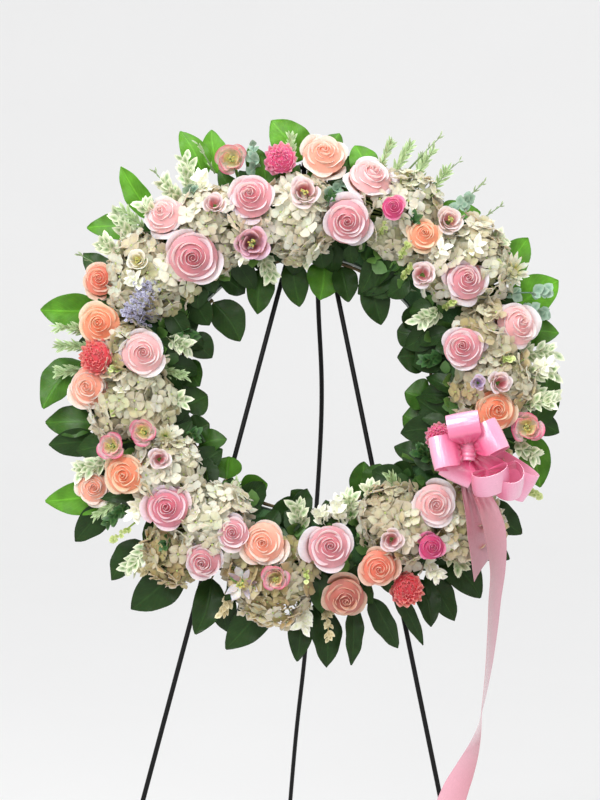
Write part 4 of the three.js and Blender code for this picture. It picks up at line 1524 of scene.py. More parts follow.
@dataclass(frozen=True)
class Collar:
    """Salal leaves tucked between the flowers all round the foam, over its edge.

    Attributes:
        name: the piece's name.
        count: leaves.
        foot_radius, foot_z: where the leaves leave the foam.
        tip_radius, tip_z: the least and greatest distance and height of the tips.
        width: least and greatest width.
        light: least and greatest lightness, a painted light and shade.
        seed: of the leaves' places.
    """

    name: str
    count: int
    foot_radius: float
    foot_z: float
    tip_radius: tuple[float, float]
    tip_z: tuple[float, float]
    width: tuple[float, float]
    light: tuple[float, float]
    seed: int

    def build(self, finishes: Finishes) -> bpy.types.Object:
        """Makes the collar. The leaves are brighter at the top of the wreath: a painted light from above."""
        rng = np.random.default_rng(self.seed)
        angle = (np.arange(self.count) + rng.uniform(-0.4, 0.4, self.count)) * 360 / self.count
        foot = polar(angle, self.foot_radius + rng.uniform(-6, 6, self.count), self.foot_z)
        tip_angle = angle + rng.uniform(-9, 9, self.count)
        tip_radius = rng.uniform(*self.tip_radius, self.count)
        tip = polar(tip_angle, tip_radius, rng.uniform(*self.tip_z, self.count))
        low, high = self.light
        light = rng.uniform(low, low + 0.6 * (high - low), self.count)
        # Painted light: the leaves get lighter towards the top of the wreath.
        light = light + 0.4 * (high - low) * np.clip(np.sin(np.radians(angle)), 0, 1)
        blades = SMALL_SALAL.blades(foot, tip, rng.uniform(*self.width, self.count), light, rng)
        root = foot * [1, 1, 0] + [0, 0, FOAM_TOP - 8]
        stalk = np.stack([root, foot, foot + 0.2 * (tip - foot)], axis=1)
        radius = np.array([[1.2, 1.0, 0.4]]) + np.zeros((self.count, 1))
        stalks = tubes(stalk, radius, 5, GREEN_STEM, 1)
        return make_piece(self.name, [blades, stalks], [finishes.leaf, finishes.stem])


# The inner collars get less painted light than the outer ones.
COLLARS = [
    Collar("collar_inner", 38, 178, 50, (128, 152), (14, 44), (26, 38), (0.0, 0.35), 11),
    Collar("collar_inner_upper", 30, 184, 62, (144, 164), (44, 66), (18, 30), (0.0, 0.45), 12),
    Collar("collar_outer", 56, 230, 48, (264, 296), (6, 36), (26, 42), (0.0, 0.7), 13),
    Collar("collar_outer_upper", 48, 226, 60, (256, 286), (36, 62), (20, 34), (0.0, 0.8), 14),
]


@dataclass(frozen=True)
class UnderGrowth:
    """Small leaves over the top of the foam, seen in the gaps between the flowers.

    Attributes:
        count: leaves.
        seed: of their places and colours.
        dark, light: the least and greatest colour of their middles.
    """

    count: int = 620
    seed: int = 21
    dark: Array = field(default_factory=lambda: linear(0.12, 0.26, 0.10))
    light: Array = field(default_factory=lambda: linear(0.42, 0.60, 0.28))

    def build(self, finishes: Finishes) -> bpy.types.Object:
        """Makes the leaves, each heading its own way."""
        rng = np.random.default_rng(self.seed)
        angle = rng.uniform(0, 360, self.count)
        radius = RING_R + rng.uniform(-34, 34, self.count)
        foot = polar(angle, radius, FOAM_TOP + rng.uniform(-2, 10, self.count))
        heading = rng.uniform(0, 2 * np.pi, self.count)
        along = np.stack([np.cos(heading), np.sin(heading), rng.uniform(0.2, 1.3, self.count)], axis=-1)
        length = rng.uniform(14, 26, self.count)
        colour = mix(self.dark, self.light, rng.uniform(0, 1, self.count) ** 1.6)
        leaves = oval_leaves(foot, unit(along) * length[:, None], 0.38, colour, colour * 1.15, rng)
        return make_piece("undergrowth", [leaves], [finishes.sprig])


def oval_leaves(foot: Array, run: Array, aspect: float, middle: Array, rim: Array, rng: Rng) -> Patch:
    """Small pointed-oval leaves of sixteen faces.

    Args:
        foot: where they start (k, 3).
        run: from foot to tip (k, 3).
        aspect: the half width as a share of the length.
        middle: colours of the middles (k, 3).
        rim: colours of the rims (k, 3).
        rng: source of their turns.

    Returns:
        The leaves as one patch.
    """
    x = np.array([0.0, 0.22, 0.50, 0.80, 1.0, 0.80, 0.50, 0.22])
    y = np.array([0.0, -0.72, -1.0, -0.62, 0.0, 0.62, 1.0, 0.72])
    away = np.array([0, 0, 1.0]) + rng.normal(0, 0.35, run.shape)
    length = np.linalg.norm(run, axis=1, keepdims=True)
    across = unit(np.cross(away, run)) * length * aspect
    up = unit(np.cross(run, across)) * length
    lift = 0.10 * y**2 * aspect + 0.08 * np.sin(np.pi * x)
    outline = foot[:, None] + run[:, None] * x[:, None] + across[:, None] * y[:, None]
    outline = outline + up[:, None] * lift[:, None]
    heart = foot + 0.52 * run + up * 0.02
    return lenses(outline, heart + up * 0.035, heart, rim, middle, 0)


@dataclass(frozen=True)
class SprigPlan:
    """How one kind of sprig grows.

    Attributes:
        length: of a leaf, in millimetres.
        half: half width of a leaf, as a share of its length.
        count: leaves on a sprig.
        spread: how far the leaves stand off the stem.
        dark, light: colours of the leaves' middles and rims.
    """

    length: float
    half: float
    count: int
    spread: float
    dark: Triple
    light: Triple


class Filler(Enum):
    """Kinds of sprig."""

    VARIEGATED = SprigPlan(20.0, 0.24, 26, 0.95, (0.4, 0.58, 0.3), (0.96, 0.97, 0.86))
    FEATHERY = SprigPlan(15.0, 0.13, 34, 0.7, (0.5, 0.64, 0.4), (0.74, 0.82, 0.62))
    EUCALYPTUS = SprigPlan(15.0, 0.42, 16, 0.9, (0.4, 0.54, 0.46), (0.62, 0.73, 0.64))
    WHITE_PETALS = SprigPlan(18.0, 0.26, 22, 1.2, (0.93, 0.94, 0.8), (0.99, 0.99, 0.95))
    TAN = SprigPlan(12.0, 0.3, 26, 0.9, (0.74, 0.66, 0.46), (0.9, 0.86, 0.7))
    BUDS = SprigPlan(8.0, 0.5, 16, 0.8, (0.6, 0.7, 0.34), (0.84, 0.88, 0.6))
    LIMONIUM = SprigPlan(5.5, 0.5, 80, 1.3, (0.38, 0.36, 0.46), (0.76, 0.76, 0.86))
    DARK = SprigPlan(16.0, 0.26, 22, 0.9, (0.1, 0.26, 0.12), (0.24, 0.42, 0.2))
    GRASS = SprigPlan(9.0, 0.12, 10, 0.5, (0.42, 0.52, 0.34), (0.66, 0.72, 0.56))


# Sprigs of each kind: angle and distance of the foot and of the tip, and how high the tip stands.
SPRIGS: dict[Filler, list[tuple[float, float, float, float, float]]] = {
    Filler.VARIEGATED: [
        (123, 262, 120, 312, 50), (126, 258, 127, 300, 66), (143, 262, 140, 308, 50),
        (147, 255, 147, 298, 62), (5, 250, 4, 300, 66), (10, 258, 9, 304, 50),
        (0, 258, 358, 300, 60), (290, 180, 292, 150, 70), (228, 268, 228, 308, 45),
        (312, 258, 312, 292, 48), (110, 182, 110, 138, 52), (92, 196, 92, 152, 72),
        (355, 250, 357, 292, 84), (346, 256, 344, 292, 70), (134, 250, 134, 292, 74),
        (270, 182, 268, 152, 62), (163, 182, 165, 152, 66), (188, 186, 190, 152, 70),
        (203, 254, 203, 292, 56), (336, 262, 337, 298, 44), (40, 262, 38, 302, 52),
        (30, 190, 30, 158, 70), (300, 184, 303, 152, 62),
    ],
    Filler.FEATHERY: [
        (69, 265, 68, 318, 55), (62, 270, 64, 312, 40), (172, 262, 173, 306, 48),
        (168, 268, 169, 306, 62), (178, 268, 179, 300, 40), (64, 258, 63, 322, 70),
        (58, 262, 58, 306, 78), (73, 262, 72, 310, 66), (236, 184, 238, 150, 60),
        (138, 256, 138, 306, 60), (312, 182, 314, 150, 62), (176, 184, 178, 150, 62),
        (214, 258, 214, 298, 50), (96, 262, 95, 302, 44),
    ],
    Filler.EUCALYPTUS: [
        (125, 245, 122, 276, 80), (106, 252, 104, 298, 60), (80, 250, 84, 226, 96),
        (27, 255, 22, 318, 55), (24, 262, 18, 305, 40), (52, 250, 50, 300, 70),
    ],
    Filler.WHITE_PETALS: [
        (285, 182, 286, 148, 78), (280, 182, 278, 156, 66), (272, 262, 271, 296, 50),
        (305, 252, 306, 286, 62), (40, 232, 40, 262, 112), (46, 206, 46, 228, 112),
        (118, 196, 118, 168, 92), (151, 214, 151, 246, 116), (4, 262, 6, 296, 78),
        (120, 246, 119, 280, 80), (218, 232, 219, 262, 84),
    ],
    Filler.TAN: [
        (233, 262, 231, 302, 50), (252, 262, 252, 298, 40), (277, 268, 277, 312, 34),
    ],
    Filler.BUDS: [
        (65, 190, 65, 214, 112), (54, 182, 55, 204, 110), (49, 170, 49, 186, 96),
        (30, 190, 30, 202, 104), (8, 222, 8, 246, 112), (33, 252, 33, 276, 98),
        (244, 178, 244, 206, 100), (191, 210, 191, 232, 104), (272, 214, 272, 236, 106),
        (178, 212, 178, 232, 104), (221, 268, 221, 302, 52), (336, 278, 336, 316, 52),
    ],
    Filler.LIMONIUM: [
        (155, 196, 157, 226, 114), (151, 196, 152, 224, 114), (159, 198, 161, 232, 108),
    ],
    Filler.DARK: [
        (230, 236, 231, 262, 92), (216, 256, 217, 292, 60), (262, 206, 262, 226, 100),
        (57, 214, 58, 234, 104), (326, 226, 327, 250, 92), (85, 200, 84, 222, 100),
        (192, 190, 192, 212, 92), (158, 178, 160, 150, 62), (205, 184, 207, 150, 62),
        (12, 176, 12, 150, 56), (330, 190, 331, 160, 64),
    ],
    Filler.GRASS: [
        (115, 280, 116, 322, 60), (66, 290, 63, 342, 62), (51, 284, 50, 328, 56),
        (60, 276, 57, 332, 44), (45, 284, 44, 326, 40), (127, 272, 127, 322, 40),
        (152, 272, 152, 318, 44),
    ],
}


@dataclass(frozen=True)
class Sprigs:
    """All the filler sprigs of one kind.

    Attributes:
        kind: of sprig.
    """

    kind: Filler

    def build(self, finishes: Finishes) -> bpy.types.Object:
        """Makes the sprigs: curved stems with leaves set round them by the golden angle."""
        rng = np.random.default_rng(300 + len(self.kind.name))
        patches = []
        for place in SPRIGS[self.kind]:
            patches += self.sprig(np.array(place), rng)
        name = "sprigs_" + self.kind.name.lower()
        return make_piece(name, patches, [finishes.sprig])

    def sprig(self, place: Array, rng: Rng) -> list[Patch]:
        """One sprig.

        Args:
            place: angle and distance of the foot and the tip, and the tip's height.
            rng: source of its leaves' places, sizes and lightness.

        Returns:
            The leaves and the stem.
        """
        plan = self.kind.value
        k = plan.count
        foot = polar(place[0], place[1], min(FOAM_TOP + 6.0, place[4] - 4))
        tip = polar(place[2], place[3], place[4])
        bow = np.array([0, 0, 0.16 * np.linalg.norm(tip - foot)])
        path = smooth_path(np.array([foot, (foot + tip) / 2 + bow, tip]), 12)
        at = np.sort(rng.uniform(0.12, 1.0, k)) * 12
        base = np.stack([np.interp(at, np.arange(13), path[:, i]) for i in range(3)], axis=-1)
        axis = unit(tip - foot)
        turn = np.arange(k) * GOLDEN_ANGLE
        side = np.stack([np.cos(turn), np.sin(turn), 0 * turn], axis=-1) @ basis(axis)
        run = unit(axis + side * plan.spread * rng.uniform(0.7, 1.3, (k, 1)))
        run = run * (plan.length * rng.uniform(0.65, 1.1, (k, 1)))
        if self.kind is Filler.LIMONIUM:
            base = base + side * rng.uniform(1, 10, (k, 1))
        dark, light = linear(*plan.dark), linear(*plan.light)
        vary = 1 + rng.uniform(-0.12, 0.12, (k, 1))
        leaves = oval_leaves(base, run, plan.half, dark * vary, light * vary, rng)
        return [leaves, tubes(path[None], np.linspace(1.3, 0.5, 13)[None], 5, dark, 0)]


# --- ribbon ------------------------------------------------------------------------------

BOW_CENTRE = polar(338, 208, 132)
KNOT_R = 9.0
LOOP_ROOT_HALF = 8.0
# What the inside of a loop is multiplied by: a painted shade within the loop.
LOOP_INSIDE_SHADE = linear(0.97, 0.84, 0.90)
# Loops that stand for solids of the frame. Each has its angle, its length, how far it is lifted, its
# pitch towards the front and roll about its length, its bulge, and the offset of its root.
Loop = tuple[float, float, float, tuple[float, float], float, Triple]
BOW_LOOPS: dict[str, Loop] = {
    "bow_loop_top": (104, 47, 18, (14, -8), 11, (0, 0, 0)),
    "bow_loop_left": (186, 48, 2, (24, 14), 11, (0, 0, 0)),
    "bow_loop_right": (32, 48, 6, (22, -14), 11, (0, 0, 0)),
    "bow_loop_low": (292, 30, 8, (38, 84), 20, (20, -18, 0)),
    "bow_loop_low_right": (332, 90, -24, (0, 24), 14, (0, 0, 0)),
}
# Loops that are only in the looks.
EXTRA_LOOPS: dict[str, Loop] = {
    "bow_loop_mid_right": (322, 44, -4, (24, 66), 15, (30, -18, -4)),
    "bow_loop_back": (246, 40, -8, (6, 0), 9, (0, 0, 0)),
}
TAILS: dict[str, list[tuple[float, float, float, float]]] = {
    "ribbon_tail_long": [
        (198, -98, 116, -8), (209, -124, 116, -22), (221, -148, 116, -34), (230, -178, 113, -44),
        (234, -216, 106, -56), (232, -254, 99, -62), (231, -289, 92, -66), (228, -338, 84, -73),
        (223, -386, 75, -82), (220, -412, 71, -92), (214, -437, 67, -106), (205, -462, 62, -122),
        (194, -490, 57, -138), (184, -525, 51, -146), (179, -566, 44, -150),
    ],
    "ribbon_tail_short": [
        (190, -98, 113, -8), (198, -124, 111, -22), (206, -150, 104, -34), (212, -184, 97, -44),
        (218, -228, 88, -52),
    ],
}
# A painted highlight for the bends of the bow's loops.
RIBBON_PAINTED_HIGHLIGHT = linear(0.99, 0.84, 0.90)
RIBBON_PINK = linear(0.93, 0.60, 0.72)
# A painted shade for the ribbon's folds by the knot and along the pleats of its wrap.
RIBBON_PAINTED_SHADE = linear(0.90, 0.38, 0.56)
# The tail's colour in painted shade, where it hangs under the bow.
TAIL_PAINTED_SHADE = linear(0.70, 0.43, 0.47)
TAIL_PINK = linear(0.86, 0.62, 0.68)


@dataclass(frozen=True)
class BowLoop:
    """A loop of the bow: out from the knot, round and back, gathered in pleats at the knot.

    Attributes:
        name: of the loop, without its material.
        angle: the way it points, in degrees.
        length: from the knot's middle to its end, in millimetres.
        stand_off: how far it is lifted off the flowers.
        turned: its pitch towards the front and its roll about its length, in degrees.
        bulge: half its opening.
        root: offset of its start from the knot.
        stands_for: the plain solid that it takes the place of.
        rows, columns: points along and across the ribbon.
    """

    name: str
    angle: float
    length: float
    stand_off: float
    turned: tuple[float, float]
    bulge: float
    root: Triple
    stands_for: tuple[str, ...] = ()
    rows: int = 57
    columns: int = 17

    def build(self, finishes: Finishes) -> bpy.types.Object:
        """Makes the loop as one sheet of ribbon.

        With turn from -180 to 180 degrees, the reach from the knot is (1 + cos(turn)) / 2 of the
        length, and the height over the middle line is a sine of the turn, so that the loop is
        open. The width shrinks towards the knot and its pleats deepen as it does.
        """
        share_run = np.linspace(0, 1, self.rows)[:, None]
        u = np.linspace(-1, 1, self.columns)[None, :]
        turn = np.pi * (2 * share_run - 1)
        reach = 0.5 * (1 + np.cos(turn))
        swell = np.sin(np.pi / 2 * np.minimum(1, 2.4 * reach))
        bulge = 2.5 * (2 * share_run - 1) + self.bulge * np.sin(turn) * (0.3 + 0.7 * swell)
        start = KNOT_R + 1
        pitch, roll = np.radians(self.turned)
        out = polar(self.angle, math.cos(pitch), math.sin(pitch))
        level = unit(np.array([-out[1], out[0], 0]))
        up = np.cross(out, level)
        across = math.cos(roll) * level + math.sin(roll) * up
        up = np.cross(out, across)
        half = LOOP_ROOT_HALF + (RIBBON_WIDTH / 2 - LOOP_ROOT_HALF) * swell
        fade = np.minimum(1, 8 * share_run * (1 - share_run) + 0.55)
        pleat = 1.9 * (1 - swell) ** 0.8 * np.sin(3.5 * np.pi * u) * fade
        crown = 1.6 * (1 - u**2) * swell * np.sign(np.sin(turn) + 1e-9) * np.abs(np.sin(turn))
        along = start + (self.length - start) * reach - 0.8 * u**2 * swell
        lift = self.stand_off * (0.4 + 0.6 * swell) + 4
        points = BOW_CENTRE + np.array(self.root) + along[..., None] * out
        points = points + (u * half)[..., None] * across + (bulge + pleat + crown)[..., None] * up
        points = points + lift[..., None] * np.array([0, 0, 1.0])
        grid = np.stack(np.broadcast_arrays(u / 2 + 0.5, share_run * 4), axis=-1)[::-1]
        # Painted shade: the loop is deeper pink near the knot, in its folds.
        inside = np.clip(1.15 - 1.25 * reach, 0, 1)
        # Painted highlight: the loop is paler towards its bend.
        tint = mix(RIBBON_PINK, RIBBON_PAINTED_HIGHLIGHT, 0.7 * reach**3)
        tint = mix(tint, RIBBON_PAINTED_SHADE, np.broadcast_to(inside, points.shape[:2]))[None, ::-1]
        patch = closed_sheets(points[None, ::-1], 0.5, grid, tint, 0, tint * LOOP_INSIDE_SHADE)
        piece = make_piece(
            self.name + "_satin", [patch], [finishes.satin], stands_for=self.stands_for
        )
        return piece


def flat_cut(points: Array, line: Array) -> tuple[tuple[float, float], float]:
    """The flat cut of a length of ribbon, in metres.

    Args:
        points: the ribbon's surface (rows, columns, 3), in millimetres.
        line: the line along which its length is measured (n, 3), in millimetres.

    Returns:
        The width and the length of the flat cut, and its area, which is never more than both give.
    """
    flat = (RIBBON_WIDTH * MM, float(np.linalg.norm(np.diff(line, axis=0), axis=1).sum()) * MM)
    a = points[1:, :-1] - points[:-1, :-1]
    b = points[:-1, 1:] - points[:-1, :-1]
    area = float(np.linalg.norm(np.cross(a, b), axis=-1).sum()) * MM * MM
    return flat, min(area, flat[0] * flat[1])


@dataclass(frozen=True)
class RibbonTail:
    """A tail of the bow that hangs over the flowers and turns about its length.

    Attributes:
        name: of the tail, and of the plain solid that it takes the place of.
        line: the knots of its middle line: x, y, z, and how far it is turned, in degrees.
        rows, columns: points along and across the ribbon.
    """

    name: str
    line: list[tuple[float, float, float, float]]
    rows: int = 120
    columns: int = 13

    def build(self, finishes: Finishes) -> bpy.types.Object:
        """Makes the tail as one sheet, with a slanting cut end."""
        knots = np.array(self.line)
        path = smooth_path(knots, self.rows - 1)
        v = np.linspace(0, 1, self.rows)[:, None]
        u = np.linspace(-1, 1, self.columns)[None, :]
        centre, turn = path[:, :3], np.radians(path[:, 3])
        along = unit(np.gradient(centre, axis=0))
        level = np.stack([np.cos(turn), 0 * turn, np.sin(turn)], axis=-1)
        across = unit(level - (level * along).sum(axis=1, keepdims=True) * along)
        normal = np.cross(along, across)
        place = v * (len(knots) - 1)
        gather = np.minimum(1, 0.3 + 0.25 * place)
        half = RIBBON_WIDTH / 2 * gather
        cup = 1.4 * u**2 + 0.5 * np.sin(3 * np.pi * u) * (1 - gather) * 5
        slant = 16 * (u + 1) * np.clip((v - 0.9) / 0.1, 0, 1)
        points = centre[:, None] + across[:, None] * (u * half)[..., None]
        points = points + normal[:, None] * cup[..., None] - along[:, None] * slant[..., None] * 0.6
        flat, area = flat_cut(points, centre)
        grid = np.stack(np.broadcast_arrays(u / 2 + 0.5, v * flat[1] / MM / 40), axis=-1)
        # Painted shade and light: the tail is darker where it hangs from the bow and lighter towards its end
        # and one edge.
        tint = mix(TAIL_PAINTED_SHADE, TAIL_PINK, np.clip(0.1 + 0.75 * v + 0.35 * u, 0, 1))
        patch = closed_sheets(points[None], 0.4, grid, tint[None], 0)
        piece = make_piece(
            self.name + "_satin", [patch], [finishes.satin], stands_for=(self.name,)
        )
        return piece


@dataclass(frozen=True)
class BowKnot:
    """The wrap of ribbon over the middle of the bow, and the pick that holds it in the foam.

    Attributes:
        rows, columns: points along and across the ribbon.
    """

    rows: int = 61
    columns: int = 17

    def build(self, finishes: Finishes) -> list[bpy.types.Object]:
        """Makes the wrap as a gathered band round an ellipse, and the pick as a green stick."""
        turn = np.linspace(-math.radians(170), math.radians(170), self.rows)[:, None]
        u = np.linspace(-1, 1, self.columns)[None, :]
        pleat = 1 + 0.07 * np.sin(4 * np.pi * u + 0.8)
        x = -(KNOT_R + 0.5) * np.sin(turn) * pleat * (1 - 0.1 * u**2)
        z = 4 + 13 * np.cos(turn) * pleat * (1 - 0.14 * u**2)
        y = 10.5 * u * (1 + 0.12 * np.sin(turn) ** 2) + 0 * turn
        points = BOW_CENTRE + np.stack(np.broadcast_arrays(x, y, z), axis=-1)
        grid = np.stack(np.broadcast_arrays(u / 2 + 0.5, turn / 2 + 2), axis=-1)
        # Painted shade along the pleats of the wrap.
        pleat_shade = 0.3 + 0.3 * np.cos(4 * np.pi * u)
        tint = mix(RIBBON_PINK, RIBBON_PAINTED_SHADE, np.broadcast_to(pleat_shade, points.shape[:2]))
        patch = closed_sheets(points[None, :, ::-1], 0.6, grid, tint[None], 0)
        wrap = make_piece(
            "bow_knot_satin", [patch], [finishes.satin], stands_for=("bow_knot",)
        )
        foot = BOW_CENTRE * [1, 1, 0] + [0, 0, 32]
        run = np.linspace(0, 1, 9)[None, :, None]
        path = foot + (BOW_CENTRE + [0, 0, -4] - foot) * run
        stick = tubes(path, np.full((1, 9), 2.0), 8, linear(0.30, 0.42, 0.22), 0)
        pick = make_piece("bow_pick", [stick], [finishes.stem])
        return [wrap, pick]


# --- easel -------------------------------------------------------------------------------

WIRE_R = 3.0
LEG_SPACING = 9.5
LEG_SLOPE = 0.2345
SPLAY_Y = 231.0
FLOOR_Y = -914.4
REAR_ANGLE = 27.1
REAR_LENGTH = 1240.0
# How far over the splay the front legs start to bend.
BEND_RUN = LEG_SPACING / LEG_SLOPE * 0.15
# The eyes round the hinge pin: half their width, their inner and outer radius, and their facets.
EYE_HALF = {FRONT_BODY: 3.2, REAR_BODY: 4.5}
EYE_RADII = (3.4, 7.0)
EYE_STEPS = 40
# Each bend of the rear leg: how far it is off the straight line, and its share of the length.
REAR_BENDS = [(0.0, 0.0), (14, 0.15), (23, 0.29), (13, 0.55), (1, 0.71), (-14, 1.0)]


@dataclass(frozen=True)
class Easel:
    """The painted wire legs of the easel, and the finish of its small fittings."""

    def build(self, finishes: Finishes) -> None:
        """Makes the three legs and dresses the hooks, the hinge pin and the leg stop."""
        for side, name in ((-1, "front_leg_left"), (1, "front_leg_right")):
            self.leg(name, self.front_path(side), FRONT_BODY, finishes)
        self.leg("rear_leg", self.rear_path(), REAR_BODY, finishes)
        for name in ("hinge_pin", "leg_stop", "top_hook", "ledge_hook_left", "ledge_hook_right"):
            dress(name, finishes.wire)
        dress("ring_tray", finishes.tray)
        dress("foam_ring", finishes.foam)

    def front_path(self, side: int) -> Array:
        """A front leg: down from the hinge, a soft bend, then out to the floor.

        Args:
            side: -1 for the left leg, 1 for the right one.

        Returns:
            The leg's middle line.
        """
        top = np.array([[LEG_SPACING, APEX_Y], [LEG_SPACING, SPLAY_Y + BEND_RUN]])
        start = np.array([LEG_SPACING + 0.4 * BEND_RUN * LEG_SLOPE, SPLAY_Y - 0.4 * BEND_RUN])
        foot = np.array([LEG_SPACING + (SPLAY_Y - FLOOR_Y) * LEG_SLOPE, FLOOR_Y])
        flat = np.concatenate([top, start + (foot - start) * np.linspace(0, 1, 30)[:, None]])
        return np.column_stack([side * flat[:, 0], flat[:, 1], np.full(len(flat), LEG_Z)])

    def rear_path(self) -> Array:
        """The hand-bent rear leg, from the hinge back and down to the floor."""
        bends = smooth_path(np.array(REAR_BENDS), 60)
        a = math.radians(REAR_ANGLE)
        y = APEX_Y - REAR_LENGTH * bends[:, 1] * math.cos(a)
        z = LEG_Z - REAR_LENGTH * bends[:, 1] * math.sin(a)
        path = np.column_stack([bends[:, 0], y, z])
        return path[WREATH.place(path)[:, 2] > 0.001]

    def leg(self, name: str, path: Array, body: str, finishes: Finishes) -> None:
        """A painted wire with its hinge eye, cut level at the floor.

        Args:
            name: of the plain solid that it takes the place of.
            path: its middle line.
            body: the moving body that it rides on.
            finishes: the materials.
        """
        path = np.concatenate([path, [floor_point(path)]])
        wire = tubes(path[None], np.full((1, len(path)), WIRE_R), 20, linear(0.1, 0.1, 0.1), 0)
        level_foot(wire)
        patches = [wire, self.eye(path[0, 0], EYE_HALF[body])]
        make_piece(
            name + "_wire", patches, [finishes.wire], body=body, stands_for=(name,)
        )

    def eye(self, x: float, half: float) -> Patch:
        """The flattened eye round the hinge pin: a ring with a square section.

        Args:
            x: of its middle.
            half: half its width.

        Returns:
            The eye.
        """
        a = np.linspace(0, 2 * np.pi, EYE_STEPS + 1)[:-1, None]
        inner, outer = EYE_RADII
        r = np.array([inner, outer, outer, inner])
        side = np.array([-half, -half, half, half])
        ring = np.stack([x + side + 0 * a, APEX_Y + r * np.cos(a), LEG_Z + r * np.sin(a)], axis=-1)
        idx = np.arange(4 * EYE_STEPS).reshape(EYE_STEPS, 4)
        right, ahead = np.roll(idx, -1, axis=1), np.roll(idx, -1, axis=0)
        faces = np.stack([idx, right, np.roll(right, -1, axis=0), ahead], axis=-1).reshape(-1, 4)
        points = ring.reshape(-1, 3)
        return Patch(points, faces, np.zeros((len(points), 2)), np.full(points.shape, 0.05), 0)


def floor_point(path: Array) -> Array:
    """Where a leg meets the floor.

    Args:
        path: the leg's middle line.

    Returns:
        The point on the line through the path's last two points.
    """
    a, b = path[-2], path[-1]
    za, zb = WREATH.place(np.array([a, b]))[:, 2]
    return b + (b - a) * (zb / (za - zb))


def level_foot(wire: Patch) -> None:
    """Brings a wire's last ring and its middle point straight down to the floor.

    Args:
        wire: the wire, which is changed.
    """
    low = WREATH.place(wire.points)[:, 2]
    upright = np.array([0, math.cos(math.radians(LEAN)), math.sin(math.radians(LEAN))])
    last = low < 1.2 * WIRE_R * MM
    wire.points[last] -= upright * (low[last] / MM)[:, None]


def dress(name: str, material: Material) -> None:
    """Gives a solid of the frame its finish.

    Args:
        name: of the solid.
        material: its finish.
    """
    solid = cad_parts[name]
    solid.data.materials.clear()
    solid.data.materials.append(material)
    log.info("%s: dressed", name)


# --- studio ------------------------------------------------------------------------------

SKY = (0.97, 0.98, 1.0, 1)
SKY_LIGHT = 0.35
SUN_AT = (-0.45, -0.75, 0.95)
LOOKED_AT = (-6.0, -22.0, 90.0)
# Each lamp: its name, its place and size in metres, and its power in watts.
LAMPS = [
    ("key", (-1.1, -2.0, 2.3), 1.2, 36),
    ("fill", (1.5, -2.2, 1.3), 1.6, 6),
    ("front", (0.1, -2.4, 1.9), 0.45, 7),
    ("top", (0.2, -0.3, 2.4), 1.0, 16),
]


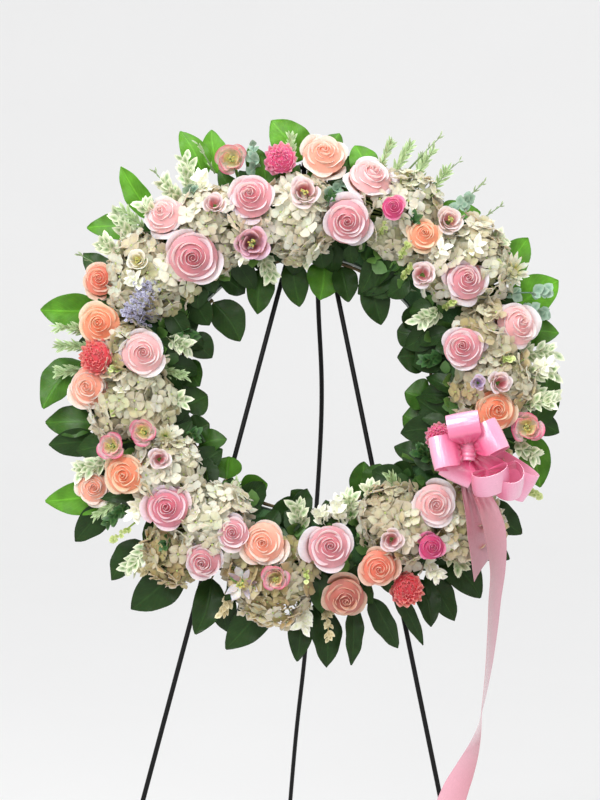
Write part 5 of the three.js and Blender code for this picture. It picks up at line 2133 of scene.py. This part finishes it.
@dataclass(frozen=True)
class Studio:
    """A pale dish of a floor, soft lights and the camera.

    Attributes:
        distance: of the camera from what it looks at, in metres.
        elevation: of the camera, in degrees.
        roll: of the camera about its view, in degrees.
        lens: its focal length, in millimetres.
    """

    distance: float = 2.40
    elevation: float = 8.0
    roll: float = 1.7
    lens: float = 90.0

    def build(self) -> None:
        """Makes the floor, the lights and the camera."""
        self.floor()
        self.sun(SUN_AT, 0.8, 14)
        for name, at, size, power in LAMPS:
            self.lamp(name, at, size, power)
        world = bpy.data.worlds.new("studio")
        world.use_nodes = True
        sky = world.node_tree.nodes["Background"]
        sky.inputs["Color"].default_value = SKY
        sky.inputs["Strength"].default_value = SKY_LIGHT
        bpy.context.scene.world = world
        bpy.context.scene.view_settings.view_transform = "Standard"
        self.camera()

    def floor(self) -> None:
        """A round floor that curves up into a wall far away: a profile turned about z."""
        bend = np.linspace(0, np.pi / 2, 12)
        r = np.concatenate([[0, 2.0, 4.0], 4.5 + 2.0 * np.sin(bend), [6.5]])
        z = np.concatenate([[0, 0, 0], 2.0 - 2.0 * np.cos(bend), [5.0]])
        a = np.linspace(0, 2 * np.pi, 97)[:-1, None]
        points = np.stack([r * np.cos(a), r * np.sin(a), z - 0.0005 + 0 * a], axis=-1)
        idx = np.arange(points.size // 3).reshape(points.shape[:2])
        nxt = np.roll(idx, -1, axis=0)
        faces = np.stack([idx[:, :-1], idx[:, 1:], nxt[:, 1:], nxt[:, :-1]], axis=-1).reshape(-1, 4)
        mesh = bpy.data.meshes.new("floor")
        mesh.from_pydata(points.reshape(-1, 3).tolist(), [], faces.tolist())
        mesh.polygons.foreach_set("use_smooth", np.ones(len(faces), bool))
        mesh.materials.append(FLOOR_PAPER.build())
        show("floor", mesh)

    def sun(self, towards: Triple, strength: float, softness: float) -> None:
        """A broad soft light that lights the floor as well.

        Args:
            towards: the way to it.
            strength: in watts per square metre.
            softness: the angle that it fills, in degrees.
        """
        data = bpy.data.lights.new("sun", "SUN")
        data.energy = strength
        data.angle = math.radians(softness)
        sun = show("sun", data)
        sun.rotation_euler = Vector(towards).to_track_quat("Z", "Y").to_euler()

    def lamp(self, name: str, at: Triple, size: float, power: float) -> None:
        """A square lamp that faces the wreath.

        Args:
            name: of the lamp.
            at: its place in metres.
            size: its side in metres.
            power: in watts.
        """
        data = bpy.data.lights.new(name, "AREA")
        data.size = size
        data.energy = power
        lamp = show(name, data)
        lamp.location = at
        aim = WREATH.place(np.zeros(3)) - np.array(at)
        lamp.rotation_euler = Vector(aim).to_track_quat("-Z", "Y").to_euler()

    def camera(self) -> None:
        """The camera, level with the flowers, a little above them and turned a little."""
        aim = WREATH.place(np.array(LOOKED_AT))
        e = math.radians(self.elevation)
        at = aim + self.distance * np.array([0, -math.cos(e), math.sin(e)])
        data = bpy.data.cameras.new("camera")
        data.lens = self.lens
        camera = show("camera", data)
        camera.location = at
        look = Vector(aim - at).to_track_quat("-Z", "Y").to_matrix()
        turned = look @ Matrix.Rotation(math.radians(self.roll), 3, "Z")
        camera.rotation_euler = turned.to_euler()
        bpy.context.scene.camera = camera


def main() -> None:
    """Builds the studio, the easel, the flowers, the leaves and the ribbon."""
    logging.basicConfig(level=logging.INFO, format="%(name)s %(message)s")
    Studio().build()
    finishes = Finishes()
    Easel().build(finishes)
    for bloom in roses() + small_blooms():
        bloom.build(finishes)
    for i, head in enumerate(HYDRANGEAS, start=1):
        Hydrangea(i, *head, stands_for=(f"hydrangea_{i:02d}",)).build(finishes)
    for i, head in enumerate(EXTRA_HYDRANGEAS, start=len(HYDRANGEAS) + 1):
        Hydrangea(i, *head, florets=70).build(finishes)
    for name, leaves in OUTER_BRANCHES.items():
        Branch(name, leaves, OUTER_TWIG_R).build(finishes)
    for name, leaves in INNER_BRANCHES.items():
        Branch(name, leaves, INNER_TWIG_R).build(finishes)
    for collar in COLLARS:
        collar.build(finishes)
    UnderGrowth().build(finishes)
    for kind in Filler:
        Sprigs(kind).build(finishes)
    BowKnot().build(finishes)
    for name, loop in BOW_LOOPS.items():
        BowLoop(name, *loop, stands_for=(name,)).build(finishes)
    for name, loop in EXTRA_LOOPS.items():
        BowLoop(name, *loop).build(finishes)
    for name, line in TAILS.items():
        RibbonTail(name, line).build(finishes)


if __name__ == "__main__":
    main()
